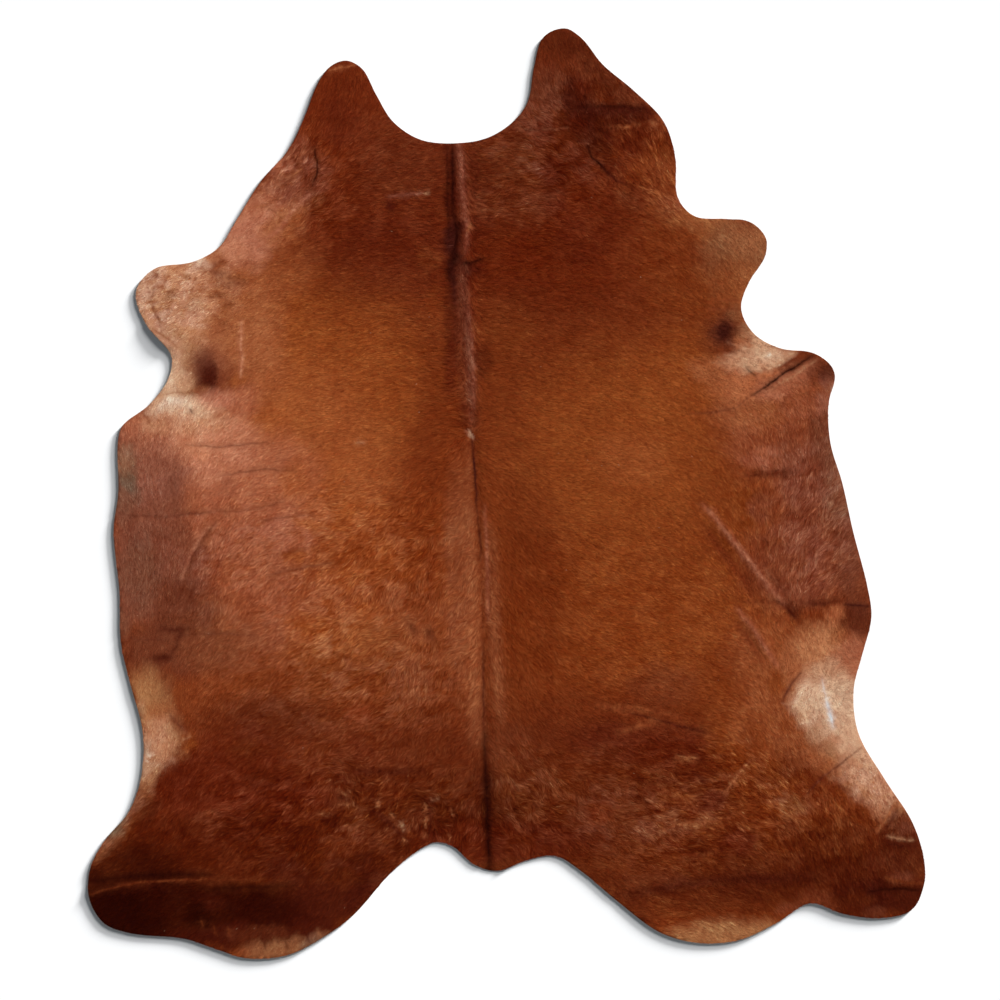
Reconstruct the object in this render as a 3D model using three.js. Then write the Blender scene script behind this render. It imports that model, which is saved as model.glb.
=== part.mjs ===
// A whole cowhide used as a rug: one hair-on skin, cut round with a knife, lying flat with its hair side up.
// Millimetres, +Z up, the floor at z = 0, the neck towards +Y and the tail towards -Y.
// The origin is the middle of the hide's box, on the floor.
import * as THREE from 'three';
import { ConvexHull } from 'three/addons/math/ConvexHull.js';

// What the hide measures through, from the floor to the top of its lying coat.
const hide = {
  colour: 0x8a4722,
  backThickness: 6.2,   // thick back leather with its coat pressed flat
  edgeThickness: 3.4,   // thin belly and leg leather with short hair
  thickensOver: 330,    // how far in from the cut edge it goes on getting thicker
};

// How finely the faces follow it.
const facing = {
  edgeStep: 25,         // along the cut edge
  fieldStep: 52,        // over the open field
  foldStep: 14,         // where a fold bends the skin
  backStep: 26,         // along the line of the back
  undersideStep: 190,   // over the flat flesh side
  clearOfEdge: 15,      // no inner point comes closer to the cut edge
};

// The cut edge, clockwise from the left of the neck as seen from above, [x, y] at each bend.
const cutEdge = {
  neckFlapLeft: [[-449, 964], [-422, 1005], [-382, 1024], [-342, 1005], [-308, 943], [-268, 879]],
  neckNotch: [[-204, 837], [-129, 828], [-48, 840], [13, 877], [49, 924]],
  neckFlapRight: [[65, 1009], [87, 1079], [139, 1100], [181, 1073], [226, 1016], [304, 950], [372, 879]],
  foreLegRight: [[399, 796], [405, 700], [444, 656], [522, 649], [574, 643], [613, 605], [611, 560],
    [572, 497], [555, 435]],
  elbowRight: [[588, 375], [652, 342], [723, 333], [766, 304], [777, 276], [762, 215]],
  flankRight: [[766, 120], [794, 25], [820, -91], [853, -218], [863, -292], [841, -382], [821, -464]],
  hindLegRight: [[832, -566], [896, -678], [957, -772], [983, -845], [989, -914], [959, -984], [886, -1004],
    [796, -994], [718, -969]],
  thighRight: [[638, -1016], [546, -1057], [447, -1062], [361, -1037], [262, -964], [179, -895], [115, -857]],
  tail: [[49, -867], [-24, -893], [-77, -877], [-124, -837], [-162, -824]],
  thighLeft: [[-204, -841], [-273, -897], [-363, -998], [-436, -1051], [-519, -1092], [-616, -1099]],
  hindLegLeft: [[-685, -1078], [-762, -1053], [-888, -1040], [-952, -1016], [-987, -956], [-984, -886],
    [-947, -817], [-893, -753], [-864, -670]],
  flankLeft: [[-860, -566], [-890, -448], [-912, -351], [-915, -235], [-929, -86], [-918, 2], [-919, 120]],
  elbowLeft: [[-909, 159], [-845, 210], [-801, 269], [-792, 323], [-850, 397], [-876, 458]],
  foreLegLeft: [[-870, 494], [-829, 533], [-744, 547], [-680, 582], [-635, 652], [-578, 742], [-519, 808],
    [-484, 875]],
};

// The line of the back, from the neck notch to the root of the tail: the groove's place and depth, and the
// height of the ridge of standing hair on its right.
const backLine = {
  grooveWidth: 26,
  ridgeWidth: 38,
  ridgeBeside: 27,      // from the groove's middle to the ridge's
  faceColumns: [-26, -13, 0, 13, 27, 38, 50],   // where faces meet, from the groove's middle
  rows: [
    { y: 828, x: -131, groove: 2.6, ridge: 1.5 },
    { y: 770, x: -129, groove: 3.2, ridge: 4.0 },
    { y: 660, x: -128, groove: 3.4, ridge: 5.0 },
    { y: 560, x: -120, groove: 3.0, ridge: 4.0 },
    { y: 440, x: -112, groove: 2.8, ridge: 5.0 },
    { y: 300, x: -100, groove: 2.4, ridge: 4.6 },
    { y: 146, x: -86, groove: 1.2, ridge: 2.6 },
    { y: 40, x: -72, groove: 2.6, ridge: 1.2 },
    { y: -60, x: -68, groove: 1.6, ridge: 1.0 },
    { y: -300, x: -56, groove: 1.6, ridge: 1.2 },
    { y: -575, x: -54, groove: 1.6, ridge: 1.4 },
    { y: -730, x: -47, groove: 2.8, ridge: 1.6 },
    { y: -893, x: -39, groove: 2.0, ridge: 0.8 },
  ],
};

// The folds that show from a step away. Each runs from one place through a second to a third, tapers out at
// both ends, and rises above the field or sinks below it.
const folds = [
  { at: 'right elbow, upper lip', from: [700, 336], by: [610, 304], to: [572, 288], width: 40, rise: 4.5 },
  { at: 'right elbow, crease', from: [742, 330], by: [629, 264], to: [530, 196], width: 26, rise: -3.0 },
  { at: 'right elbow, lower lip', from: [716, 296], by: [648, 262], to: [586, 226], width: 40, rise: 5.0 },
  { at: 'right flank, upper ridge', from: [478, -44], by: [560, -136], to: [634, -252], width: 46, rise: 5.0 },
  { at: 'right flank, upper valley', from: [470, -82], by: [524, -154], to: [586, -232], width: 34, rise: -2.4 },
  { at: 'right flank, lower ridge', from: [556, -272], by: [604, -342], to: [636, -408], width: 44, rise: 4.4 },
  { at: 'right flank, lower valley', from: [544, -302], by: [584, -356], to: [606, -392], width: 30, rise: -2.2 },
  { at: 'right flank, cross crease', from: [560, -256], by: [650, -260], to: [694, -300], width: 24, rise: -2.6 },
  { at: 'right flank, short crease', from: [590, 46], by: [628, 50], to: [668, 40], width: 24, rise: -2.0 },
  { at: 'right flank, edge crease', from: [780, -254], by: [826, -258], to: [866, -262], width: 26, rise: -2.4 },
  { at: 'right thigh, long streak', from: [214, -508], by: [370, -530], to: [452, -560], width: 44, rise: -1.8 },
  { at: 'right thigh, slanting ridge', from: [516, -716], by: [560, -668], to: [594, -614], width: 34, rise: 3.4 },
  { at: 'right shin, upper crease', from: [842, -600], by: [768, -660], to: [710, -714], width: 30, rise: -2.4 },
  { at: 'right shin, upper swell', from: [868, -640], by: [800, -700], to: [744, -752], width: 60, rise: 3.2 },
  { at: 'right shin, lower crease', from: [924, -726], by: [900, -770], to: [884, -802], width: 28, rise: -2.4 },
  { at: 'right hock, edge fold', from: [860, -944], by: [920, -928], to: [990, -930], width: 34, rise: 4.0 },
  { at: 'right rump, long crease', from: [312, -946], by: [580, -914], to: [772, -910], width: 34, rise: -2.4 },
  { at: 'right rump, long swell', from: [340, -986], by: [580, -952], to: [760, -948], width: 66, rise: 2.6 },
  { at: 'right neck, curved crease', from: [190, 850], by: [226, 774], to: [290, 722], width: 30, rise: -2.4 },
  { at: 'right neck, curved lip', from: [214, 862], by: [254, 798], to: [318, 744], width: 40, rise: 3.0 },
  { at: 'left cheek, crease', from: [-450, 796], by: [-446, 760], to: [-462, 722], width: 24, rise: -2.4 },
  { at: 'left fore leg, edge fold', from: [-856, 402], by: [-812, 366], to: [-770, 334], width: 34, rise: 4.0 },
  { at: 'left flank, long crease', from: [-922, -52], by: [-720, -50], to: [-534, -18], width: 26, rise: -2.6 },
  { at: 'left flank, long lip', from: [-900, -84], by: [-720, -80], to: [-560, -50], width: 46, rise: 3.2 },
  { at: 'left flank, short crease', from: [-664, 42], by: [-620, 46], to: [-574, 52], width: 24, rise: -1.8 },
  { at: 'left flank, slanting ridge', from: [-706, -84], by: [-754, -176], to: [-784, -262], width: 44, rise: 4.6 },
  { at: 'left flank, slanting valley', from: [-680, -90], by: [-724, -176], to: [-756, -262], width: 32, rise: -2.6 },
  { at: 'left flank, lower crease', from: [-808, -312], by: [-750, -344], to: [-560, -326], width: 26, rise: -2.2 },
  { at: 'left hock, long crease', from: [-982, -920], by: [-740, -914], to: [-470, -906], width: 30, rise: -2.8 },
  { at: 'left hock, long lip', from: [-975, -948], by: [-840, -940], to: [-700, -938], width: 44, rise: 4.4 },
  { at: 'left rump, crease to the edge', from: [-360, -812], by: [-330, -880], to: [-352, -966], width: 40, rise: 2.6 },
];

// Wide low places where the skin does not lie quite down, each an oval of half sizes long and wide, turned by
// turn degrees from +X.
const swells = [
  { at: 'left shoulder', x: -520, y: 470, long: 210, wide: 120, turn: 35, rise: 2.2 },
  { at: 'right shoulder', x: 430, y: 500, long: 200, wide: 110, turn: -30, rise: 2.0 },
  { at: 'left fore leg', x: -770, y: 440, long: 90, wide: 60, turn: 60, rise: 2.6 },
  { at: 'right fore leg', x: 545, y: 570, long: 80, wide: 60, turn: 20, rise: 2.4 },
  { at: 'left flank', x: -800, y: 60, long: 190, wide: 90, turn: 85, rise: 2.4 },
  { at: 'right flank', x: 730, y: -40, long: 210, wide: 90, turn: 105, rise: 2.8 },
  { at: 'left stifle', x: -790, y: -480, long: 170, wide: 80, turn: 80, rise: 2.6 },
  { at: 'right stifle', x: 750, y: -480, long: 170, wide: 80, turn: 100, rise: 2.8 },
  { at: 'left rump', x: -560, y: -720, long: 260, wide: 130, turn: 15, rise: 2.0 },
  { at: 'right rump', x: 400, y: -740, long: 250, wide: 130, turn: -15, rise: 2.0 },
  { at: 'left hock', x: -840, y: -850, long: 120, wide: 70, turn: 30, rise: 2.4 },
  { at: 'right hock', x: 850, y: -850, long: 130, wide: 80, turn: -40, rise: 2.6 },
  { at: 'left neck flap', x: -380, y: 930, long: 90, wide: 50, turn: 85, rise: 1.8 },
  { at: 'right neck flap', x: 190, y: 990, long: 100, wide: 60, turn: -45, rise: 2.0 },
];

// The cut edge as one smooth closed line of even steps, moved so that its box is centred on the origin.
function edgeLine() {
  const bends = Object.values(cutEdge).flat().map(([x, y]) => new THREE.Vector3(x, y, 0));
  const curve = new THREE.CatmullRomCurve3(bends, true, 'centripetal');
  const steps = Math.round(curve.getLength() / facing.edgeStep);
  const line = curve.getSpacedPoints(steps).slice(0, steps).map((p) => new THREE.Vector2(p.x, p.y));
  const middle = new THREE.Box2().setFromPoints(line).getCenter(new THREE.Vector2());
  return { line: line.map((p) => p.sub(middle)), middle };
}

const { line: edge, middle } = edgeLine();

// A path through places as short straight stretches, with the same shift as the cut edge.
function pathThrough(rows, step) {
  const curve = new THREE.SplineCurve(rows.map(([x, y]) => new THREE.Vector2(x, y).sub(middle)));
  return curve.getSpacedPoints(Math.max(4, Math.round(curve.getLength() / step)));
}

// The same path set off to its left, or to its right where the offset is negative.
function besidePath(line, offset) {
  return line.map((point, i) => {
    const run = line[Math.min(i + 1, line.length - 1)].clone().sub(line[Math.max(i - 1, 0)]).normalize();
    return new THREE.Vector2(-run.y, run.x).multiplyScalar(offset).add(point);
  });
}

// How far a point is from a line of points, on which side (positive to the right of its run) and how far along
// it, from 0 to 1.
function offFrom(point, line, closed = false) {
  let best = { distance: Infinity, side: 1, along: 0 };
  const stretches = closed ? line.length : line.length - 1;
  for (let i = 0; i < stretches; i += 1) {
    const start = line[i];
    const run = line[(i + 1) % line.length].clone().sub(start);
    const off = point.clone().sub(start);
    const t = THREE.MathUtils.clamp(off.dot(run) / run.lengthSq(), 0, 1);
    const distance = off.distanceTo(run.clone().multiplyScalar(t));
    if (distance < best.distance) {
      best = { distance, side: Math.sign(off.cross(run)) || 1, along: (i + t) / stretches };
    }
  }
  return best;
}

// 1 at the middle of a band and 0 at its rim, round at the top and easing into the field.
const crown = (offset, halfWidth) => {
  const share = Math.min(1, Math.abs(offset) / halfWidth);
  return (0.5 + 0.5 * Math.cos(Math.PI * share)) ** 1.2;
};

const foldLines = folds.map(({ from, by, to, width, rise }) => (
  { width, rise, line: pathThrough([from, by, to], facing.foldStep) }));
const backPath = pathThrough(backLine.rows.map(({ x, y }) => [x, y]), facing.backStep);

// A column of the back line's table at the height y, straight between its rows.
function onBack(y, column) {
  const { rows } = backLine;
  const below = rows.findIndex((row) => row.y - middle.y <= y);
  if (below === -1) return rows.at(-1)[column];
  if (below === 0) return rows[0][column];
  const [upper, lower] = [rows[below - 1], rows[below]];
  const share = (upper.y - middle.y - y) / (upper.y - lower.y);
  return THREE.MathUtils.lerp(upper[column], lower[column], share);
}

function foldRise(point) {
  return foldLines.reduce((sum, { line, width, rise }) => {
    const { distance, along } = offFrom(point, line);
    const taper = Math.sin(Math.PI * THREE.MathUtils.clamp(along, 0.04, 0.96)) ** 0.6;
    return sum + rise * crown(distance, width / 2) * taper;
  }, 0);
}

function backRise(point) {
  const { distance, side } = offFrom(point, backPath);
  // The path runs towards the tail, so what lies towards +X is on its left.
  const across = -side * distance;
  const groove = onBack(point.y, 'groove') * crown(across, backLine.grooveWidth / 2);
  const ridge = onBack(point.y, 'ridge') * crown(across - backLine.ridgeBeside, backLine.ridgeWidth / 2);
  return ridge - groove;
}

function swellRise(point) {
  return swells.reduce((sum, { x, y, long, wide, turn, rise }) => {
    const off = new THREE.Vector2(x, y).sub(middle).sub(point);
    off.rotateAround(new THREE.Vector2(), -THREE.MathUtils.degToRad(turn));
    return sum + rise * crown(Math.hypot(off.x / long, off.y / wide), 1);
  }, 0);
}

// The top of the lying coat above the floor. No crease goes through the leather.
function topAt(point) {
  const inFromEdge = offFrom(point, edge, true).distance;
  const thickness = THREE.MathUtils.lerp(
    hide.edgeThickness,
    hide.backThickness,
    THREE.MathUtils.smoothstep(inFromEdge, 0, hide.thickensOver),
  );
  const top = thickness + swellRise(point) + foldRise(point) + backRise(point);
  return Math.max(top, 0.6 * hide.edgeThickness);
}

function isInside(point) {
  let inside = false;
  edge.forEach((a, i) => {
    const b = edge[(i + 1) % edge.length];
    const crosses = (a.y > point.y) !== (b.y > point.y);
    if (crosses && point.x < a.x + ((point.y - a.y) / (b.y - a.y)) * (b.x - a.x)) inside = !inside;
  });
  return inside;
}

// True where a fold bends the skin too sharply for the open field's faces.
const isFolded = (point) => foldLines.some(({ line, width }) => offFrom(point, line).distance < width / 2);

// An even field of points in rows, each second row half a step along.
function field(step) {
  const points = [];
  const { min, max } = new THREE.Box2().setFromPoints(edge);
  const rowStep = step * Math.sin(Math.PI / 3);
  for (let row = 0; min.y + row * rowStep < max.y; row += 1) {
    for (let x = min.x + (row % 2) * (step / 2); x < max.x; x += step) {
      points.push(new THREE.Vector2(x, min.y + row * rowStep));
    }
  }
  return points;
}

// Adds those points that lie inside the cut edge and clear of the points already there.
function addClear(points, more, clearance) {
  more.forEach((point) => {
    const crowded = points.some((p, i) => {
      const needed = i < edge.length ? Math.max(clearance, facing.clearOfEdge) : clearance;
      return p.distanceToSquared(point) < needed * needed;
    });
    if (!crowded && isInside(point)) points.push(point);
  });
}

// Triangles over a set of points, anticlockwise from above: the underside of the hull of the points lifted onto
// a bowl, which joins each point to its nearest neighbours. Those outside the cut edge are left out.
function trianglesOver(points) {
  const numberOf = new Map();
  const lifted = points.map((p, i) => {
    const onBowl = new THREE.Vector3(p.x, p.y, p.lengthSq() / 1000);
    numberOf.set(onBowl, i);
    return onBowl;
  });
  return new ConvexHull().setFromPoints(lifted).faces
    .filter((face) => face.normal.z < 0)
    .map(({ edge: first }) => [first, first.next, first.prev].map((side) => numberOf.get(side.head().point)))
    .filter((corners) => isInside(
      corners.reduce((sum, i) => sum.add(points[i]), new THREE.Vector2()).divideScalar(3),
    ))
    .map(([a, b, c]) => [a, c, b]);
}

// One closed body: the coat side with all its folds, the flat flesh side on the floor and the cut edge between.
function hideGeometry() {
  const above = [...edge];
  const tight = 0.5 * facing.foldStep;
  addClear(above, backLine.faceColumns.flatMap((offset) => besidePath(backPath, offset)), tight);
  // The crest or bottom line of each fold, then its two rims, so that its faces keep to them.
  addClear(above, foldLines.flatMap(({ line }) => line), tight);
  const rims = foldLines.flatMap(({ line, width }) => [width / 2, -width / 2].flatMap((off) => besidePath(line, off)));
  addClear(above, rims, tight);
  addClear(above, field(facing.foldStep).filter(isFolded), 0.65 * facing.foldStep);
  addClear(above, field(facing.fieldStep), 0.55 * facing.fieldStep);
  const below = [...edge];
  addClear(below, field(facing.undersideStep), 0.5 * facing.undersideStep);

  const positions = [
    ...above.flatMap((p) => [p.x, p.y, topAt(p)]),
    ...below.flatMap((p) => [p.x, p.y, 0]),
  ];
  const floor = above.length;
  const faces = trianglesOver(above);
  trianglesOver(below).forEach(([a, b, c]) => faces.push([floor + a, floor + c, floor + b]));
  edge.forEach((point, i) => {
    const next = (i + 1) % edge.length;
    faces.push([i, next, floor + next], [i, floor + next, floor + i]);
  });
  const geometry = new THREE.BufferGeometry();
  geometry.setAttribute('position', new THREE.Float32BufferAttribute(positions, 3));
  geometry.setIndex(faces.flat());
  geometry.computeVertexNormals();
  return geometry;
}

const rug = new THREE.Group();
const skin = new THREE.Mesh(
  hideGeometry(),
  new THREE.MeshStandardMaterial({ color: hide.colour, roughness: 0.72, metalness: 0 }),
);
skin.name = 'hide';
rug.add(skin);

export default rug;
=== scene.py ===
import math

import bmesh
import bpy
import numpy as np
from mathutils import Matrix, Vector
from mathutils.bvhtree import BVHTree
from mathutils.geometry import delaunay_2d_cdt


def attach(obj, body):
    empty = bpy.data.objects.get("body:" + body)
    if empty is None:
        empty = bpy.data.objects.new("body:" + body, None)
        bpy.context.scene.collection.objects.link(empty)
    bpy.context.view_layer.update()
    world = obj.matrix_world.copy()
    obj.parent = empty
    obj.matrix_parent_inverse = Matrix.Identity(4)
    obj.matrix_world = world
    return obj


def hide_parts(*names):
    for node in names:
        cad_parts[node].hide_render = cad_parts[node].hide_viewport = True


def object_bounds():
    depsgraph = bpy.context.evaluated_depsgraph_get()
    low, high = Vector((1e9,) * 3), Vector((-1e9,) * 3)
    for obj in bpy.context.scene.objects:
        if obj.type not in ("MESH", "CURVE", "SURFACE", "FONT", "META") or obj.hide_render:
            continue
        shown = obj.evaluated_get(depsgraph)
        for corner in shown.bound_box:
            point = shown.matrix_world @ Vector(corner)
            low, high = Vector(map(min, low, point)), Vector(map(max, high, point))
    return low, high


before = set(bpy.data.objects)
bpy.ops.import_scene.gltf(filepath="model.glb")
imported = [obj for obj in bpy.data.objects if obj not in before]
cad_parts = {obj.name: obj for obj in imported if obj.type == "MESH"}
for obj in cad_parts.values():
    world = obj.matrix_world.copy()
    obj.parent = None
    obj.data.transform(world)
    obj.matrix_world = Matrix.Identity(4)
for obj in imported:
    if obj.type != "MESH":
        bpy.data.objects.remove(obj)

# a whole cowhide, hair side up: a thin leather sheet with its short coat lying on it
# +Y runs from the tail to the neck; places on the hide are in centimetres in the lists

cadLow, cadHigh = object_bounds()
cm = 0.01
mm = 0.001


# camera

cameraSet = {
    "middle": (-0.0153, -0.0147),    # what it looks straight down on
    "height": 5.2,
    "across": 2.3656,                # width of floor in the frame
    "sensor": 36,
    "sees": 250,
}


def makeCamera():
    lens = cameraSet["sensor"] * cameraSet["height"] / cameraSet["across"]
    bpy.ops.object.camera_add(location=(*cameraSet["middle"], cameraSet["height"]))
    camera = bpy.context.object
    camera.name = "camera"
    camera.data.sensor_width = cameraSet["sensor"]
    camera.data.lens = lens
    camera.data.clip_end = cameraSet["sees"]
    bpy.context.scene.camera = camera


bpy.ops.object.select_all(action="DESELECT")
makeCamera()


# the form of the hide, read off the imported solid

solidSet = {
    "cell": 5 * mm,          # spacing of the heights
    "margin": 4 * cm,        # grid beyond the edge
    "band": 14,              # cells on each side of the edge that know how far it is
    "outwards": 4,           # cells beyond the edge that take its height
    "underside": 0.05 * mm,  # lower points belong to the flat underside
    "weld": 0.001 * mm,      # points closer than this are one
    "rimStep": 7.5 * mm,     # spacing of the points round the edge
}


class Field:
    # values on an even grid, read smoothly between its points
    def __init__(self, values, low, cell):
        self.values = values
        self.low = low
        self.cell = cell

    def at(self, x, y):
        grid = self.values
        u = ((x - self.low[0]) / self.cell).clip(0, grid.shape[1] - 1.001)
        v = ((y - self.low[1]) / self.cell).clip(0, grid.shape[0] - 1.001)
        i = u.astype(int)
        j = v.astype(int)
        u = u - i
        v = v - j
        near = grid[j, i] * (1 - u) + grid[j, i + 1] * u
        far = grid[j + 1, i] * (1 - u) + grid[j + 1, i + 1] * u
        return near * (1 - v) + far * v


def bottomLoop(solid):
    # the line of points where the flat underside meets the edge
    flat = {face for face in solid.faces if max(v.co.z for v in face.verts) < solidSet["underside"]}
    beside = {}
    for edge in solid.edges:
        if sum(face in flat for face in edge.link_faces) == 1:
            for here, there in (edge.verts, reversed(edge.verts)):
                beside.setdefault(here, []).append(there)
    start = next(iter(beside))
    loop = [start]
    before, here = None, start
    while True:
        onward = [v for v in beside[here] if v is not before]
        before, here = here, onward[0]
        if here is start:
            break
        loop.append(here)
    points = np.array([v.co.xy for v in loop])
    x, y = points.T
    turn = np.sum(x * np.roll(y, -1) - y * np.roll(x, -1))
    return points if turn > 0 else points[::-1]


def roundLoop(loop, step):
    # a smooth line through the loop's points
    made = []
    for p0, p1, p2, p3 in zip(np.roll(loop, 1, 0), loop, np.roll(loop, -1, 0), np.roll(loop, -2, 0)):
        count = max(1, round(float(np.linalg.norm(p2 - p1)) / step))
        for t in np.arange(count) / count:
            bend = 2 * p0 - 5 * p1 + 4 * p2 - p3 + t * (3 * (p1 - p2) + p3 - p0)
            made.append(p1 + 0.5 * t * (p2 - p0 + t * bend))
    return np.array(made)


def gridHeights(solid, low, shape, cell):
    tree = BVHTree.FromBMesh(solid)
    down = Vector((0, 0, -1))
    heights = np.full(shape, np.nan)
    for j in range(shape[0]):
        for i in range(shape[1]):
            hit = tree.ray_cast(Vector((low[0] + i * cell, low[1] + j * cell, 1)), down)[0]
            if hit:
                heights[j, i] = hit.z
    return heights


def fillOutwards(grid, rounds):
    # carries the edge's heights a few cells out, so reading beside it stays even
    for _ in range(rounds):
        known = ~np.isnan(grid)
        total = np.zeros(grid.shape)
        count = np.zeros(grid.shape)
        for axis in (0, 1):
            for step in (-1, 1):
                shifted = np.roll(np.where(known, grid, 0), step, axis)
                total += shifted
                count += np.roll(known, step, axis)
        fresh = ~known & (count > 0)
        grid[fresh] = total[fresh] / count[fresh]
    grid[np.isnan(grid)] = np.nanmin(grid)
    return grid


def edgeDistance(loop, low, shape, cell, band):
    field = np.full(shape, band * cell)
    for a, b in zip(loop, np.roll(loop, -1, 0)):
        i0, j0 = ((np.minimum(a, b) - low) / cell - band).astype(int).clip(0)
        i1, j1 = ((np.maximum(a, b) - low) / cell + band + 2).astype(int)
        window = field[j0:j1, i0:i1]
        x = low[0] + cell * (i0 + np.arange(window.shape[1]))
        y = low[1] + cell * (j0 + np.arange(window.shape[0]))[:, None]
        along = b - a
        t = (((x - a[0]) * along[0] + (y - a[1]) * along[1]) / (along @ along)).clip(0, 1)
        away = np.hypot(x - a[0] - t * along[0], y - a[1] - t * along[1])
        np.minimum(window, away, out=window)
    return field


def readSolid():
    solid = bmesh.new()
    solid.from_mesh(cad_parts["hide"].data)
    bmesh.ops.remove_doubles(solid, verts=solid.verts, dist=solidSet["weld"])
    cell = solidSet["cell"]
    low = np.array(cadLow[:2]) - solidSet["margin"]
    size = np.array(cadHigh[:2]) + solidSet["margin"] - low
    shape = (int(size[1] / cell) + 1, int(size[0] / cell) + 1)
    rim = roundLoop(bottomLoop(solid), solidSet["rimStep"])
    heights = gridHeights(solid, low, shape, cell)
    solid.free()
    away = edgeDistance(rim, low, shape, cell, solidSet["band"])
    outside = np.where(np.isnan(heights), away, -away)
    heights = fillOutwards(heights, solidSet["outwards"])
    for axis in (0, 1):
        heights = (np.roll(heights, 1, axis) + 2 * heights + np.roll(heights, -1, axis)) / 4
    return rim, Field(heights, low, cell), Field(outside, low, cell)


rim, topField, edgeField = readSolid()
print("hide read:", len(rim), "edge points")


# chance that is the same on each run

def ease(t):
    t = np.clip(t, 0, 1)
    return t * t * (3 - 2 * t)


latticeSize = 64
latticeShift = (7.3, 3.1)    # each seed reads its lattice from another place
streakSteps = 7
lattices = {}


def patches(x, y, size, seed):
    # soft random spots between -1 and 1, about size across
    if seed not in lattices:
        lattices[seed] = np.random.default_rng(seed).uniform(-1, 1, (latticeSize, latticeSize))
    grid = lattices[seed]
    u = x / size + latticeShift[0] * seed
    v = y / size + latticeShift[1] * seed
    i = np.floor(u).astype(int)
    j = np.floor(v).astype(int)
    u = ease(u - i)
    v = ease(v - j)
    i0, i1 = i % latticeSize, (i + 1) % latticeSize
    j0, j1 = j % latticeSize, (j + 1) % latticeSize
    near = grid[j0, i0] * (1 - u) + grid[j0, i1] * u
    far = grid[j1, i0] * (1 - u) + grid[j1, i1] * u
    return near * (1 - v) + far * v


def streaks(x, y, angle, size, reach, seed):
    # the same spots drawn out along the hair
    total = 0
    for t in np.linspace(-1, 1, streakSteps):
        total = total + patches(x + t * reach * np.cos(angle), y + t * reach * np.sin(angle), size, seed)
    return total / math.sqrt(streakSteps)


# hair colours as the eye sees them, red, green and blue out of 255

hairTones = {
    "gold": (153, 80, 40), "amber": (139, 67, 28), "bronze": (143, 74, 40), "russet": (121, 52, 21),
    "darkRusset": (115, 51, 23), "umber": (108, 48, 25), "redBrown": (101, 37, 15),
    "darkRed": (89, 29, 12), "wine": (93, 36, 17), "oxblood": (64, 17, 7), "black": (34, 5, 1),
    "dun": (124, 66, 38), "caramel": (155, 87, 52), "rose": (177, 111, 85), "tan": (162, 112, 80),
    "pinkTan": (183, 127, 95), "paleRose": (185, 137, 109), "sand": (190, 143, 111),
    "cream": (202, 162, 132), "pale": (216, 194, 172), "elbow": (88, 40, 26),
    "rosewood": (142, 76, 50), "rosewoodLight": (160, 92, 66), "dustyRose": (163, 99, 73),
    "mauve": (136, 80, 62), "slate": (116, 77, 59), "greenGrey": (110, 84, 66),
    # crease is a tone of painted shade, drawn along creases
    "plum": (122, 66, 47), "darkPlum": (104, 51, 32), "crease": (92, 42, 27),
    # ridgeMauve and ridgePlum are the raised dorsal ridge's hair, drawn lighter there as painted light on
    # it
    "ridgeMauve": (138, 74, 54), "ridgePlum": (116, 59, 41), "plumBlack": (56, 18, 12),
    "backTan": (146, 82, 50), "rust": (100, 41, 17), "blueWhite": (198, 198, 202),
    "sienna": (128, 59, 24), "backBrown": (113, 46, 17), "umberRed": (101, 42, 18),
    "lowRed": (89, 34, 13), "wineBlack": (75, 22, 6), "roseTan": (166, 98, 70),
    "fawn": (158, 104, 66), "dustBrown": (119, 58, 31), "strawBrown": (140, 88, 56),
    "mauveBrown": (125, 65, 44), "warmMauve": (141, 72, 44), "tanBrown": (162, 92, 57),
    "greyMauve": (116, 70, 52), "garnet": (101, 34, 10), "copper": (136, 64, 26),
    "ochre": (136, 63, 23), "cocoa": (90, 38, 20), "bark": (82, 30, 12), "fallow": (149, 85, 48),
    "dustyBack": (138, 76, 46), "duskBrown": (114, 57, 36), "brightRose": (188, 122, 91),
    "tawny": (134, 80, 50), "honey": (181, 118, 79), "pitch": (44, 8, 2), "ashTan": (142, 98, 74),
    "honeyBrown": (168, 96, 60), "ashMauve": (121, 72, 52),
}


def linear(tone):
    # screen values to amounts of light
    part = np.array(hairTones[tone]) / 255
    return np.where(part <= 0.04045, part / 12.92, ((part + 0.055) / 1.055) ** 2.4)


# marks of the coat, by part of the hide, with painted shade and painted light along its creases and
# ridges
# areas: x, y, half length, half width, turn in degrees, softness, strength, tone
# lines: tone, strength, half width, rise in millimetres, points; a line with a negative rise is a crease,
# mostly drawn darker as painted shade in it, and one with a positive rise is a ridge or lip, drawn
# lighter as painted light on it, over the coat's own tone there

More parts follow.
